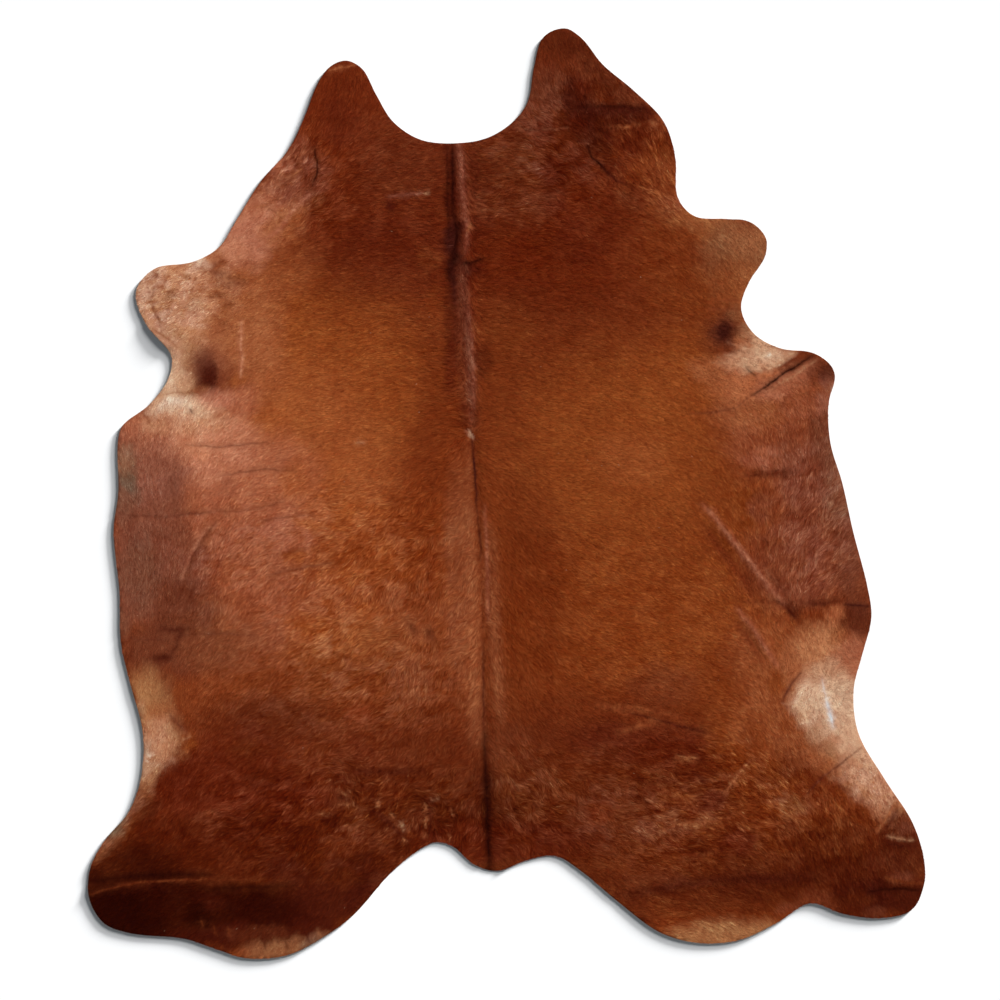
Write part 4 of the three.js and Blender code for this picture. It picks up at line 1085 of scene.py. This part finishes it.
def hairAngle(x, y):
    right = x > dorsalX(y)
    east = np.zeros(len(x))
    north = np.zeros(len(x))
    for placeX, placeY, turn in hairLie:
        dx = x - placeX * cm
        dy = y - placeY * cm
        sameSide = right == (placeX * cm > dorsalX(placeY * cm))
        near = np.exp(-(dx * dx + dy * dy) / (2 * lieSet["reach"] ** 2)) * sameSide
        east += near * math.cos(math.radians(turn))
        north += near * math.sin(math.radians(turn))
    strong = np.hypot(east, north)
    mane = ridge["hold"] * ridgeWeight(x, y)
    east = east / strong + mane * math.cos(math.radians(ridge["turn"]))
    north = north / strong + mane * math.sin(math.radians(ridge["turn"]))
    for placeX, placeY, radius, wind in whorls:
        dx = x - placeX * cm
        dy = y - placeY * cm
        near = lieSet["whorlHold"] * np.exp(-(dx * dx + dy * dy) / (radius * cm) ** 2)
        away = np.arctan2(dy, dx) + math.radians(wind)
        east += near * np.cos(away)
        north += near * np.sin(away)
    whirl = summed(x, y, curly) * mixed(x, y, lieSet["whirl"], 13)
    return np.arctan2(north, east) + mixed(x, y, lieSet["sway"], 11) + whirl


# coat

coatSet = {
    "lockSpacing": 8.7 * mm,
    "bladesInLock": 21,
    "lockReach": 6 * mm,          # roots lie this far along the hair from the lock's middle
    "lockHalf": 3.6 * mm,         # and this far across it
    "lockInset": 0.5 * mm,        # locks stay this far inside the cut edge
    "rootInset": 0.3 * mm,        # and each root this far
    "gather": (0.25, 0.45),       # how far tips draw in to the lock's own line, and more where it swirls
    "lockTurn": 0.12,             # how unevenly locks lie, in radians
    "bladeTurn": 0.16,            # and the blades in them
    "length": (7.5 * mm, 12 * mm),
    "longerInCurls": 0.35,
    "longerOnBack": 2.5 * mm,
    "longBack": 45 * cm,          # how far that reaches beside the dorsal line
    "feels": 0.4,                 # how far along a blade it feels a thin line under it
    "shortest": 0.15,             # share of its length that a blade keeps at the cut edge
    "width": (0.85 * mm, 1.45 * mm),
    "narrower": 0.45,             # how much of it a very short blade loses
    "roll": 0.3,                  # how far blades roll about their own line
    "spread": (0.2, 0.18),        # how unlike single hairs are in tone, and more where it is rough
    "lockSpread": (0.04, 0.16),   # and whole locks, and more where it swirls
    "seenAt": 0.75,               # the part of a blade that shows most, from root to tip
    "rootAndTip": (0.52, 1.2),    # how dark its root and how light its tip is
    "pileAtEdge": 0.8 * mm,
    "pileMore": 1.6 * mm,         # further in
    "pileWithin": 5 * cm,         # over this width
    "pileOnBack": 1 * mm,
    "thickBack": 50 * cm,         # how far that reaches beside the dorsal line
    "rootHeight": 0.08,           # of roots, as a share of the pile
    "tipHeight": 0.62,            # and of tips
    "tipOnTufts": 0.3,            # more on the tufts, and less between them
    "tipScatter": (-0.18, 0.32),
    "overhang": 2.5 * mm,         # most that hair reaches past the cut edge
    "droop": 1.2 * mm,            # tips past the edge rise no more than this above their roots
    "overFloor": 0.1 * mm,
    "leastSkin": 1.1 * mm,        # lowest that the leather's hair side lies
    "mapMargin": 0.005,           # free round each piece's texture map
    "bands": (-64 * cm, -27 * cm, 10 * cm, 46 * cm),    # one coat, in five meshes for their size
}

bandNames = ("coat_rump", "coat_loin", "coat_belly", "coat_shoulder", "coat_neck")

# tones of the hairs: sizes are of the spots, and each streak has a size, a reach and a seed

toneSet = {
    "under": "russet",                    # where no area reaches
    "fray": ((9 * mm, 3.5 * cm), (5 * mm, 1.2 * cm)),    # how far outlines of areas stray, and size
    "broad": ((0.06, 11 * cm), (0.07, 4.5 * cm)),        # slow change from light to dark, and size
    "drawn": (4.5 * mm, 7 * mm, 27),      # streaks along the hair
    "drawnStrength": 0.07,
    "fine": (2.2 * mm, 3.2 * mm, 28),
    "fineStrength": (0.13, 0.15),         # and more in the patches
    "tufts": (6.5 * mm, 17 * mm, 31),
    "tuftStrength": (0.06, 0.3),          # and more where it swirls
    # dusty and bright spots: strength, size, how much flatter than wide, and seed
    "dust": ((2.6, 24 * mm, 1.6, 29), (2.6, 5 * cm, 1.4, 34), (1.2, 12 * mm, 1.4, 35)),
    "dustStrength": 0.46,
    "dashes": (5 * mm, 15 * mm, 37),      # short dark strokes
    "dashLie": 0.2,                       # nearly across the hide, in radians
    "dashRange": (0.4, 0.6),              # only the strongest show, and no darker than this
    "dashStrength": 1.4,
    "onLines": 1.5,                       # how much stronger the change is on creases and ridges
    "lightStep": (0.72, 1.25, 1.4),       # light hairs are dustier and dark ones redder
    "dustStep": (0.4, 0.8, 1.25),         # dusty hair is greyer than bright hair
    "cast": (1.2, 1.185, 1.165),          # makes up for the colour of the light
    "sheen": (0, 0.0004, 0.0001),         # and this for the sheen on the hair
    "darkest": 0.0003,
}


def pileDepth(x, y):
    inward = ease(-edgeField.at(x, y) / coatSet["pileWithin"])
    onBack = ease(1 - np.abs(x - dorsalX(y)) / coatSet["thickBack"])
    return coatSet["pileAtEdge"] + coatSet["pileMore"] * inward + coatSet["pileOnBack"] * onBack


def leatherTop(x, y):
    top = topField.at(x, y) - pileDepth(x, y) + lineLift(x, y)
    return top.clip(coatSet["leastSkin"], None)


def shaded(amount):
    # what a lighter or darker hair does to the three parts of its colour
    return np.exp(np.outer(amount, toneSet["lightStep"]))


def coatTone(x, y, angle):
    colour = np.tile(linear(toneSet["under"]), (len(x), 1))
    ragX = x + mixed(x, y, toneSet["fray"], 21)
    ragY = y + mixed(x, y, toneSet["fray"], 23)
    for row in areas:
        near, weight = areaTouch(ragX, ragY, row)
        colour[near] += (linear(row[7]) - colour[near]) * weight[:, None]

    drawn = streaks(x, y, angle, *toneSet["drawn"])
    fine = streaks(x, y, angle, *toneSet["fine"])
    tufts = streaks(x, y, angle, *toneSet["tufts"])
    patched = summed(x, y, patchy)
    fineEven, fineMore = toneSet["fineStrength"]
    tuftEven, tuftMore = toneSet["tuftStrength"]
    swing = mixed(x, y, toneSet["broad"], 25) + toneSet["drawnStrength"] * drawn
    swing += (fineEven + fineMore * patched) * fine
    swing += (tuftEven + tuftMore * summed(x, y, swirled)) * tufts
    colour *= shaded(swing)

    dusty = np.tanh(sum(
        strong * patches(ragX, flat * ragY, size, seed) for strong, size, flat, seed in toneSet["dust"]))
    above, most = toneSet["dashRange"]
    dashes = (streaks(x, y, toneSet["dashLie"], *toneSet["dashes"]) - above).clip(0, most)
    dust = patched * (toneSet["dustStrength"] * dusty - toneSet["dashStrength"] * dashes)
    colour *= np.exp(np.outer(dust, toneSet["dustStep"]))

    # the lines draw their tones over the coat: darker along creases, as painted shade, and lighter along
    # ridges, as painted light, besides the coat's own marks
    bentX, bentY = wander(x, y)
    broken = 1 + lineSet["inkStreaks"] * drawn
    for tone, strength, half, _, path in lines:
        hit, away, share = lineTouch(bentX, bentY, path, lineSet["inkReach"] * half * cm)
        away = away * (1 + mixed(x[hit], y[hit], lineSet["inkUneven"], 36))
        weight = strength * np.exp(-(away / (half * cm)) ** 2) * taper(share) * broken[hit]
        drawnOver = linear(tone) * shaded(toneSet["onLines"] * swing[hit])
        colour[hit] += (drawnOver - colour[hit]) * weight.clip(0, 1)[:, None]
    return ((colour - toneSet["sheen"]) * toneSet["cast"]).clip(toneSet["darkest"], None)


def plantLocks(rng):
    # middles of the locks on an uneven grid, how each lies, how light it is, and the kind of place
    gap = coatSet["lockSpacing"]
    xs = np.arange(cadLow[0], cadHigh[0], gap)
    ys = np.arange(cadLow[1], cadHigh[1], gap)
    x, y = (grid.ravel() for grid in np.meshgrid(xs, ys))
    x = x + rng.uniform(-0.5, 0.5, len(x)) * gap
    y = y + rng.uniform(-0.5, 0.5, len(y)) * gap
    inside = edgeField.at(x, y) < -coatSet["lockInset"]
    x, y = x[inside], y[inside]
    swirl = summed(x, y, swirled)
    rough = summed(x, y, patchy)
    angle = hairAngle(x, y) + rng.normal(0, coatSet["lockTurn"], len(x))
    even, more = coatSet["lockSpread"]
    shade = rng.normal(0, 1, len(x)) * (even + more * swirl)
    print("locks:", len(x))
    return x, y, angle, shade, swirl, rough


def rootBlades(rng, locks):
    # the roots of each lock's blades, and how far aside of its middle they are
    x, y, angle, shade, swirl, rough = (np.repeat(v, coatSet["bladesInLock"]) for v in locks)
    back = rng.uniform(-1, 1, len(x)) * coatSet["lockReach"]
    aside = rng.uniform(-1, 1, len(x)) * coatSet["lockHalf"]
    x = x + back * np.cos(angle) - aside * np.sin(angle)
    y = y + back * np.sin(angle) + aside * np.cos(angle)
    inside = edgeField.at(x, y) < -coatSet["rootInset"]
    return [v[inside] for v in (x, y, angle, shade, aside, swirl, rough)]


def trimmed(rng, x, y, dirX, dirY, length):
    # lengths, less beside thin lines and where the tips would reach too far past the cut edge
    felt = coatSet["feels"] * length
    length = length * lineShortening(x + felt * dirX, y + felt * dirY)
    rootEdge = edgeField.at(x, y)
    tipEdge = edgeField.at(x + length * dirX, y + length * dirY)
    allowed = rng.uniform(0, 1, len(x)) ** 2 * coatSet["overhang"]
    over = tipEdge > allowed
    length[over] *= ((allowed - rootEdge) / (tipEdge - rootEdge))[over].clip(coatSet["shortest"], 1)
    return length


def blades(root, tip, across):
    # narrow triangles, from both sides of the root to the tip
    return np.stack((root - across, tip, root + across), 1)


def raiseBlades(rng, x, y, tipX, tipY, angle, length):
    # gives blades their heights in the pile, their roll and their width
    count = len(x)
    pile = pileDepth(x, y)
    tuft = streaks(tipX, tipY, angle, *toneSet["tufts"]).clip(-1, 1)
    rootZ = leatherTop(x, y) + coatSet["rootHeight"] * pile
    scatter = rng.uniform(*coatSet["tipScatter"], count)
    tipZ = leatherTop(tipX, tipY) + (coatSet["tipHeight"] + coatSet["tipOnTufts"] * tuft + scatter) * pile
    past = edgeField.at(tipX, tipY) > 0
    tipZ = np.where(past, np.minimum(tipZ, rootZ + coatSet["droop"]), tipZ)
    roll = rng.normal(0, coatSet["roll"], count)
    grown = (length / coatSet["length"][1]).clip(0, 1)
    narrower = coatSet["narrower"]
    half = 0.5 * rng.uniform(*coatSet["width"], count) * (1 - narrower + narrower * grown)
    across = np.stack((-np.sin(angle) * np.cos(roll), np.cos(angle) * np.cos(roll), np.sin(roll)), 1)
    corners = blades(
        np.stack((x, y, rootZ), 1), np.stack((tipX, tipY, tipZ), 1), across * half[:, None])
    corners[:, :, 2] = corners[:, :, 2].clip(coatSet["overFloor"], None)
    return corners


def growCoat():
    rng = np.random.default_rng(41)
    x, y, angle, shade, aside, swirl, rough = rootBlades(rng, plantLocks(rng))
    count = len(x)
    curled = np.maximum(swirl, rough)
    onBack = ease(1 - np.abs(x - dorsalX(y)) / coatSet["longBack"])
    length = rng.uniform(*coatSet["length"], count) * (1 + coatSet["longerInCurls"] * curled)
    length += coatSet["longerOnBack"] * onBack
    gather = coatSet["gather"][0] + coatSet["gather"][1] * swirl
    angle = angle - gather * aside / length + rng.normal(0, coatSet["bladeTurn"], count)
    dirX, dirY = np.cos(angle), np.sin(angle)
    length = trimmed(rng, x, y, dirX, dirY, length)
    corners = raiseBlades(rng, x, y, x + length * dirX, y + length * dirY, angle, length)

    seen = coatSet["seenAt"] * length
    colour = coatTone(x + seen * dirX, y + seen * dirY, angle)
    spread = coatSet["spread"][0] + coatSet["spread"][1] * curled
    colour *= shaded(shade + rng.normal(0, 1, count) * spread)
    colour /= np.exp(0.5 * np.outer(spread, toneSet["lightStep"]) ** 2)    # keeps the mean tone
    return corners, colour, y


# stray pale hair ends, painted cream as glints where they catch the light: x and y in centimetres

glintFleckSet = {
    "long": 3 * mm,
    "uneven": (0.7, 1.3),
    "wide": 1.3 * mm,
    "above": 0.3 * mm,
    "turn": 0.5,                  # how far they stray from the hair, in radians
    "tone": "cream",
    "dimmest": 0.6,
}

glintFlecks = [
    (-18.2, 41.8), (-42.5, 23.1), (-20.5, 19.3), (-21.2, 26), (-38.2, 2.8), (31.6, 51.3), (41.3, 41.1),
    (43.7, 8.9), (45.8, 8), (19.1, 8), (22.4, 6.6), (26.4, 6.8), (12.2, 9.6), (-80.8, -103.2),
    (-63.7, -102.7), (-59.5, -102.7), (-38.2, -97.8), (69.1, 10.6), (68.7, 3), (76.5, 1.4), (53.6, 14.4),
    (-89.6, 9.6), (-88.6, 8.6), (-87.4, 7.6), (-90.6, 7.2), (-88.2, 6.8), (-89.4, 8), (-86.8, 8.4),
    (69.4, 10), (70, 9.2), (68.9, 7.6), (76, 4), (76.8, 3.6), (-87.2, -28.7), (-70.4, -32.9),
    (61.9, 32.6), (-80.8, 20.3), (-32, 38), (-55, 12), (8, 30), (36, -8), (14, -18), (-48, -60),
    (30, -66), (-27, 62), (20, 70), (-12, -40), (50, -44),
]


def growGlintFlecks():
    rng = np.random.default_rng(42)
    x, y = np.array(glintFlecks).T * cm
    turn = hairAngle(x, y) + rng.normal(0, glintFleckSet["turn"], len(x))
    reach = glintFleckSet["long"] * rng.uniform(*glintFleckSet["uneven"], len(x))
    root = np.stack((x, y, topField.at(x, y) + glintFleckSet["above"]), 1)
    level = np.zeros(len(x))
    along = np.stack((np.cos(turn), np.sin(turn), level), 1) * reach[:, None]
    across = np.stack((-np.sin(turn), np.cos(turn), level), 1) * glintFleckSet["wide"] / 2
    # cream, dimmed at random: painted glints of light on the hair ends
    colour = linear(glintFleckSet["tone"]) * rng.uniform(glintFleckSet["dimmest"], 1, (len(x), 1))
    return blades(root, root + along, across), colour, y


coatCorners, coatColour, coatRootY = (np.concatenate(both) for both in zip(growCoat(), growGlintFlecks()))
print("blades:", len(coatColour))


# materials

class Wire:
    # a socket that can be added and multiplied
    def __init__(self, tree, socket=None):
        self.tree = tree
        self.socket = socket

    def node(self, kind, settings, inputs, output=0):
        made = self.tree.nodes.new(kind)
        for name, value in settings.items():
            setattr(made, name, value)
        for name, value in inputs.items():
            if isinstance(value, Wire):
                self.tree.links.new(value.socket, made.inputs[name])
            else:
                made.inputs[name].default_value = value
        return Wire(self.tree, made.outputs[output])

    def maths(self, operation, other):
        return self.node("ShaderNodeMath", {"operation": operation}, {0: self, 1: other})

    def __add__(self, other):
        return self.maths("ADD", other)

    def __mul__(self, other):
        return self.maths("MULTIPLY", other)

    __radd__ = __add__
    __rmul__ = __mul__


def startMaterial(name, plain):
    material = bpy.data.materials.new(name)
    material.use_nodes = True
    tree = material.node_tree
    shader = tree.nodes["Principled BSDF"]
    for socket, value in plain.items():
        shader.inputs[socket].default_value = value
    return material, Wire(tree), shader


def plug(wire, shader, socket):
    wire.tree.links.new(wire.socket, shader.inputs[socket])


def mixColours(wires, blend, factor, first, second):
    return wires.node(
        "ShaderNodeMix", {"data_type": "RGBA", "blend_type": blend},
        {0: factor, 6: first, 7: second}, 2)


def placedNoise(wires, scale, detail, roughness=0.5):
    place = wires.node("ShaderNodeTexCoord", {}, {}, "Object")
    turned = wires.node("ShaderNodeMapping", {}, {"Vector": place, "Scale": scale})
    return wires.node("ShaderNodeTexNoise", {}, {
        "Vector": turned, "Scale": 1, "Detail": detail, "Roughness": roughness})


fibreSet = {
    "alongBlade": (5, 0.7, 0),    # how fine the fibres are drawn on each blade
    "overHide": (70, 70, 70),     # and how unlike from blade to blade, per metre
}


def hairMaterial():
    material, wires, shader = startMaterial("lyingHair", {
        "Specular IOR Level": 0.02,
        "Specular Tint": (1, 0.6, 0.36, 1),
    })
    colour = wires.node("ShaderNodeAttribute", {"attribute_name": "hairColour"}, {}, "Color")
    strand = wires.node("ShaderNodeUVMap", {"uv_map": "strand"}, {})
    place = wires.node("ShaderNodeTexCoord", {}, {}, "Object")
    spread = wires.node(
        "ShaderNodeVectorMath", {"operation": "MULTIPLY"}, {0: strand, 1: fibreSet["alongBlade"]})
    vector = wires.node(
        "ShaderNodeVectorMath", {"operation": "MULTIPLY_ADD"},
        {0: place, 1: fibreSet["overHide"], 2: spread})
    fibre = wires.node("ShaderNodeTexNoise", {}, {"Vector": vector, "Scale": 1, "Detail": 2})
    shade = 0.72 + 0.56 * fibre
    plug(mixColours(wires, "MULTIPLY", 1, colour, shade), shader, "Base Color")
    plug(0.48 + 0.3 * fibre, shader, "Roughness")
    bump = wires.node("ShaderNodeBump", {}, {"Strength": 0.25, "Distance": 0.0003, "Height": fibre})
    plug(bump, shader, "Normal")
    return material


def skinMaterial():
    # the skin and stubble between the roots: the coat's colour, darkened as painted shade under the coat
    # above it, with its own grain
    material, wires, shader = startMaterial("skinUnderHair", {"Specular IOR Level": 0.02})
    grain = placedNoise(wires, scale=(400, 400, 400), detail=3, roughness=0.7)
    colour = wires.node("ShaderNodeAttribute", {"attribute_name": "hairColour"}, {}, "Color")
    # the multiplier is under one on average: painted shade under the hair, over the skin's own grain
    plug(mixColours(wires, "MULTIPLY", 1, colour, 0.35 + 0.7 * grain), shader, "Base Color")
    plug(0.7 + 0.25 * grain, shader, "Roughness")
    bump = wires.node("ShaderNodeBump", {}, {"Strength": 0.4, "Distance": 0.0004, "Height": grain})
    plug(bump, shader, "Normal")
    return material


def suedeMaterial():
    # flesh side and cut edge: buffed split leather, pale and slightly blotched
    material, wires, shader = startMaterial("fleshSuede", {
        "Specular IOR Level": 0.15,
        "Sheen Weight": 0.25,
        "Sheen Roughness": 0.5,
    })
    nap = placedNoise(wires, scale=(420, 420, 420), detail=3, roughness=0.7)
    blotch = placedNoise(wires, scale=(9, 6, 9), detail=4, roughness=0.6)
    grain = placedNoise(wires, scale=(60, 60, 60), detail=3)
    pale = mixColours(wires, "MIX", blotch, (0.47, 0.35, 0.24, 1), (0.68, 0.57, 0.44, 1))
    shade = 0.75 + 0.25 * nap + 0.25 * grain
    plug(mixColours(wires, "MULTIPLY", 1, pale, shade), shader, "Base Color")
    plug(0.8 + 0.15 * nap, shader, "Roughness")
    bump = wires.node("ShaderNodeBump", {}, {
        "Strength": 0.5, "Distance": 0.0004, "Height": nap * 0.6 + grain * 0.6})
    plug(bump, shader, "Normal")
    return material


def floorMaterial():
    return startMaterial("paleFloor", {
        "Base Color": (0.9, 0.9, 0.9, 1),
        "Specular IOR Level": 0,
        "Roughness": 1,
    })[0]


# meshes from arrays

def meshObject(name, points, faces, materials):
    mesh = bpy.data.meshes.new(name)
    mesh.vertices.add(len(points))
    mesh.vertices.foreach_set("co", points.astype(np.float32).ravel())
    mesh.loops.add(3 * len(faces))
    mesh.loops.foreach_set("vertex_index", faces.astype(np.int32).ravel())
    mesh.polygons.add(len(faces))
    mesh.polygons.foreach_set("loop_start", np.arange(0, 3 * len(faces), 3, dtype=np.int32))
    mesh.update(calc_edges=True)
    for material in materials:
        mesh.materials.append(material)
    made = bpy.data.objects.new(name, mesh)
    bpy.context.scene.collection.objects.link(made)
    return made


def addUV(mesh, name, values):
    layer = mesh.uv_layers.new(name=name)
    layer.uv.foreach_set("vector", values.astype(np.float32).ravel())


def addColour(mesh, colours):
    layer = mesh.color_attributes.new("hairColour", "FLOAT_COLOR", "POINT")
    layer.data.foreach_set("color", colours.astype(np.float32).ravel())


# leather

leatherSet = {
    "thickness": 2.6 * mm,
    "flat": (1.98, 2.2),      # the hide is cut flat and lies flat
    "area": 3.03,
    "step": 13.5 * mm,        # spacing of the sheet's points
    "rimGap": 0.45,           # share of it that stays free beside the edge
    "lineStep": 5 * mm,       # spacing along the creases and ridges
    "lineApart": 3 * mm,      # least distance between points there
    "lineInset": 4 * mm,      # how far those stay inside the edge
    "weld": 1e-7,             # points closer than this are one
    "mapHalf": (0.48, 0.94),  # each side's share of the map
    "mapTop": (0.01, 0.05),   # where the hair side starts in it
    "mapUnder": (0.51, 0.05),
    "mapFoot": (0.005, 0.025),    # the strip of the cut edge, low and high
    "mapRound": (0.01, 0.97),     # where it starts, and how long it is
}


def spreadPoints(step):
    # rows of points inside the edge, every second row half a step on
    xs = np.arange(cadLow[0], cadHigh[0], step)
    ys = np.arange(cadLow[1], cadHigh[1], step * math.sqrt(0.75))
    x, y = np.meshgrid(xs, ys)
    x = x + 0.5 * step * (np.arange(len(ys)) % 2)[:, None]
    x, y = x.ravel(), y.ravel()
    inside = edgeField.at(x, y) < -leatherSet["rimGap"] * step
    return np.stack((x[inside], y[inside]), 1)


def linePoints():
    # points along creases and ridges, so that the sheet can follow them
    made = []
    for _, _, half, _, path in lines:
        path = np.array(path) * cm
        for a, b in zip(path, path[1:]):
            along = b - a
            length = np.linalg.norm(along)
            t = np.arange(0, 1, leatherSet["lineStep"] / length)[:, None]
            across = np.array((-along[1], along[0])) / length * half * cm
            for side in (-1, 0, 1):
                made.append(a + t * along + side * across)
    made = np.concatenate(made)
    made = 2 * made - np.stack(wander(*made.T), 1)
    made = made[edgeField.at(*made.T) < -leatherSet["lineInset"]]
    cells = np.round(made / leatherSet["lineApart"]).astype(int)
    return made[np.unique(cells, axis=0, return_index=True)[1]]


def sheetPoints():
    spread, drawn = spreadPoints(leatherSet["step"]), linePoints()
    wide = 2 * leatherSet["lineApart"]
    taken = {tuple(cell) for cell in np.round(drawn / wide).astype(int)}
    free = [tuple(cell) not in taken for cell in np.round(spread / wide).astype(int)]
    print("points along lines:", len(drawn))
    return np.concatenate((rim, spread[free], drawn))


def cutSheet():
    # the hide's flat points and the triangles between them
    count = len(rim)
    border = [(i, (i + 1) % count) for i in range(count)]
    insideOnly = 1
    points = [Vector(p) for p in sheetPoints()]
    cut = delaunay_2d_cdt(points, border, [], insideOnly, leatherSet["weld"], False)
    flat = np.array([tuple(p) for p in cut[0]])
    top = np.sort(np.array(cut[2]), axis=1)
    turn = np.cross(flat[top[:, 1]] - flat[top[:, 0]], flat[top[:, 2]] - flat[top[:, 0]])
    pocket = (top < count).all(axis=1) & (turn < 0)    # in a hollow of the outline, outside it
    top[turn < 0] = top[turn < 0][:, ::-1]
    return flat, top[~pocket]


def edgeWall(top, far):
    # triangles from the upper edge to the lower one, whose points follow far places on
    sides = dict.fromkeys((a, b) for face in top for a, b in zip(face, np.roll(face, -1)))
    a, b = np.array([(a, b) for a, b in sides if (b, a) not in sides]).T
    return np.concatenate((np.stack((a, a + far, b), 1), np.stack((b, a + far, b + far), 1)))


def makeLeather():
    flat, top = cutSheet()
    far = len(flat)
    x, y = flat.T
    high = leatherTop(x, y)
    low = (high - leatherSet["thickness"]).clip(0, None)
    upper = np.stack((x, y, high), 1)
    lower = np.stack((x, y, low), 1)
    under = top[:, ::-1] + far
    wall = edgeWall(top, far)
    faces = np.concatenate((top, under, wall))
    made = meshObject(
        "hide_leather", np.concatenate((upper, lower)), faces, [skinMaterial(), suedeMaterial()])
    kinds = np.zeros(len(faces), dtype=np.int32)
    kinds[len(top):] = 1
    made.data.polygons.foreach_set("material_index", kinds)
    addUV(made.data, "OFBake", leatherUV(flat, top, under, wall, far))
    roots = np.ones((2 * far, 4))
    roots[:, :3] = np.tile(coatTone(x, y, hairAngle(x, y)), (2, 1))
    addColour(made.data, roots)
    made.data.update()
    return made


def leatherUV(flat, top, under, wall, far):
    # hair side in the map's left half, flesh side in its right half, the edge along its foot
    low, high = np.array(cadLow[:2]), np.array(cadHigh[:2])
    share = (flat - low) / (high - low)
    sheetTop = share[top] * leatherSet["mapHalf"] + leatherSet["mapTop"]
    sheetUnder = share[under - far] * leatherSet["mapHalf"] + leatherSet["mapUnder"]
    x, y = flat.T
    turnShare = np.arctan2(y, x) / (2 * np.pi) + 0.5
    footLow, footHigh = leatherSet["mapFoot"]
    start, reach = leatherSet["mapRound"]
    along = turnShare[wall % far]
    along = np.where(along.max(axis=1, keepdims=True) - along > 0.5, along + 1, along)
    level = np.where(wall >= far, footLow, footHigh)
    edge = np.stack((start + reach * along.clip(0, 1), level), 2)
    return np.concatenate((sheetTop, sheetUnder, edge))


leather = makeLeather()
print("leather:", len(leather.data.polygons), "faces")


def makeCoat():
    hair = hairMaterial()
    band = np.searchsorted(coatSet["bands"], coatRootY)
    dark, light = coatSet["rootAndTip"]
    shade = np.array((dark, light, dark))[:, None]
    margin = coatSet["mapMargin"]
    made = []
    for index, name in enumerate(bandNames):
        mine = band == index
        corners = coatCorners[mine]
        count = len(corners)
        faces = np.arange(3 * count).reshape(-1, 3)
        piece = meshObject(name, corners.reshape(-1, 3), faces, [hair])
        flat = corners[:, :, :2].reshape(-1, 2)
        low, high = flat.min(axis=0), flat.max(axis=0)
        addUV(piece.data, "OFBake", margin + (1 - 2 * margin) * (flat - low) / (high - low))
        addUV(piece.data, "strand", np.tile(((0, 0), (0.5, 1), (1, 0)), (count, 1)))
        colours = np.ones((count, 3, 4))
        colours[:, :, :3] = coatColour[mine][:, None, :] * shade
        addColour(piece.data, colours)
        print(name, count)
        made.append(piece)
    return made


coat = makeCoat()

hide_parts("hide")
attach(leather, "root")
for piece in coat:
    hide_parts("hide")
    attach(piece, "root")


# floor and light

lightSet = {
    "key": {"from": (45, 42), "strength": 3.2, "soft": 28, "colour": (1, 1, 1)},
    "overhead": {"from": (80, 84), "strength": 1.7, "soft": 110, "colour": (1, 0.99, 0.98)},
    "floorLow": {"from": (45, 5.2), "strength": 20, "soft": 5, "colour": (1, 1, 1)},
    "floorHigh": {"from": (45, 13), "strength": 6, "soft": 15, "colour": (1, 1, 1)},
    "ambient": (0.115, 0.125, 0.135, 1),
    "floorSide": 160,
    "floorUnder": 0.2 * mm,
    "away": 3,
}


def makeFloor():
    bpy.ops.mesh.primitive_plane_add(size=lightSet["floorSide"], location=(0, 0, 0))
    floor = bpy.context.object
    floor.name = "floor"
    floor.data.transform(floor.matrix_world)
    floor.data.transform(Matrix.Translation((0, 0, -lightSet["floorUnder"])))
    floor.data.materials.append(floorMaterial())
    return floor


def lightGroup(name, pieces):
    group = bpy.data.collections.new(name)
    for piece in pieces:
        group.objects.link(piece)
    return group


def addSun(name, lit, casting):
    # a soft sun that only lights the objects in lit, and casts shadows of those in casting
    facts = lightSet[name]
    azimuth, height = (math.radians(v) for v in facts["from"])
    toLight = Vector((
        math.cos(height) * math.cos(azimuth), math.cos(height) * math.sin(azimuth), math.sin(height)))
    bpy.ops.object.light_add(type="SUN", location=lightSet["away"] * toLight)
    sun = bpy.context.object
    sun.name = name
    sun.rotation_euler = toLight.to_track_quat("Z", "Y").to_euler()
    sun.data.energy = facts["strength"]
    sun.data.angle = math.radians(facts["soft"])
    sun.data.color = facts["colour"]
    sun.light_linking.receiver_collection = lightGroup(name + "Lit", lit)
    sun.light_linking.blocker_collection = lightGroup(name + "Casting", casting)


def setWorld():
    world = bpy.data.worlds.new("studio")
    world.use_nodes = True
    background = world.node_tree.nodes["Background"]
    background.inputs["Color"].default_value = lightSet["ambient"]
    background.inputs["Strength"].default_value = 1
    bpy.context.scene.world = world


bpy.ops.object.select_all(action="DESELECT")
floor = makeFloor()
rug = [leather, *coat]
addSun("key", rug, rug)
addSun("overhead", rug, rug)
addSun("floorLow", [floor], [leather])
addSun("floorHigh", [floor], [leather])
setWorld()
bpy.context.scene.view_settings.view_transform = "Standard"

print("scene ready")
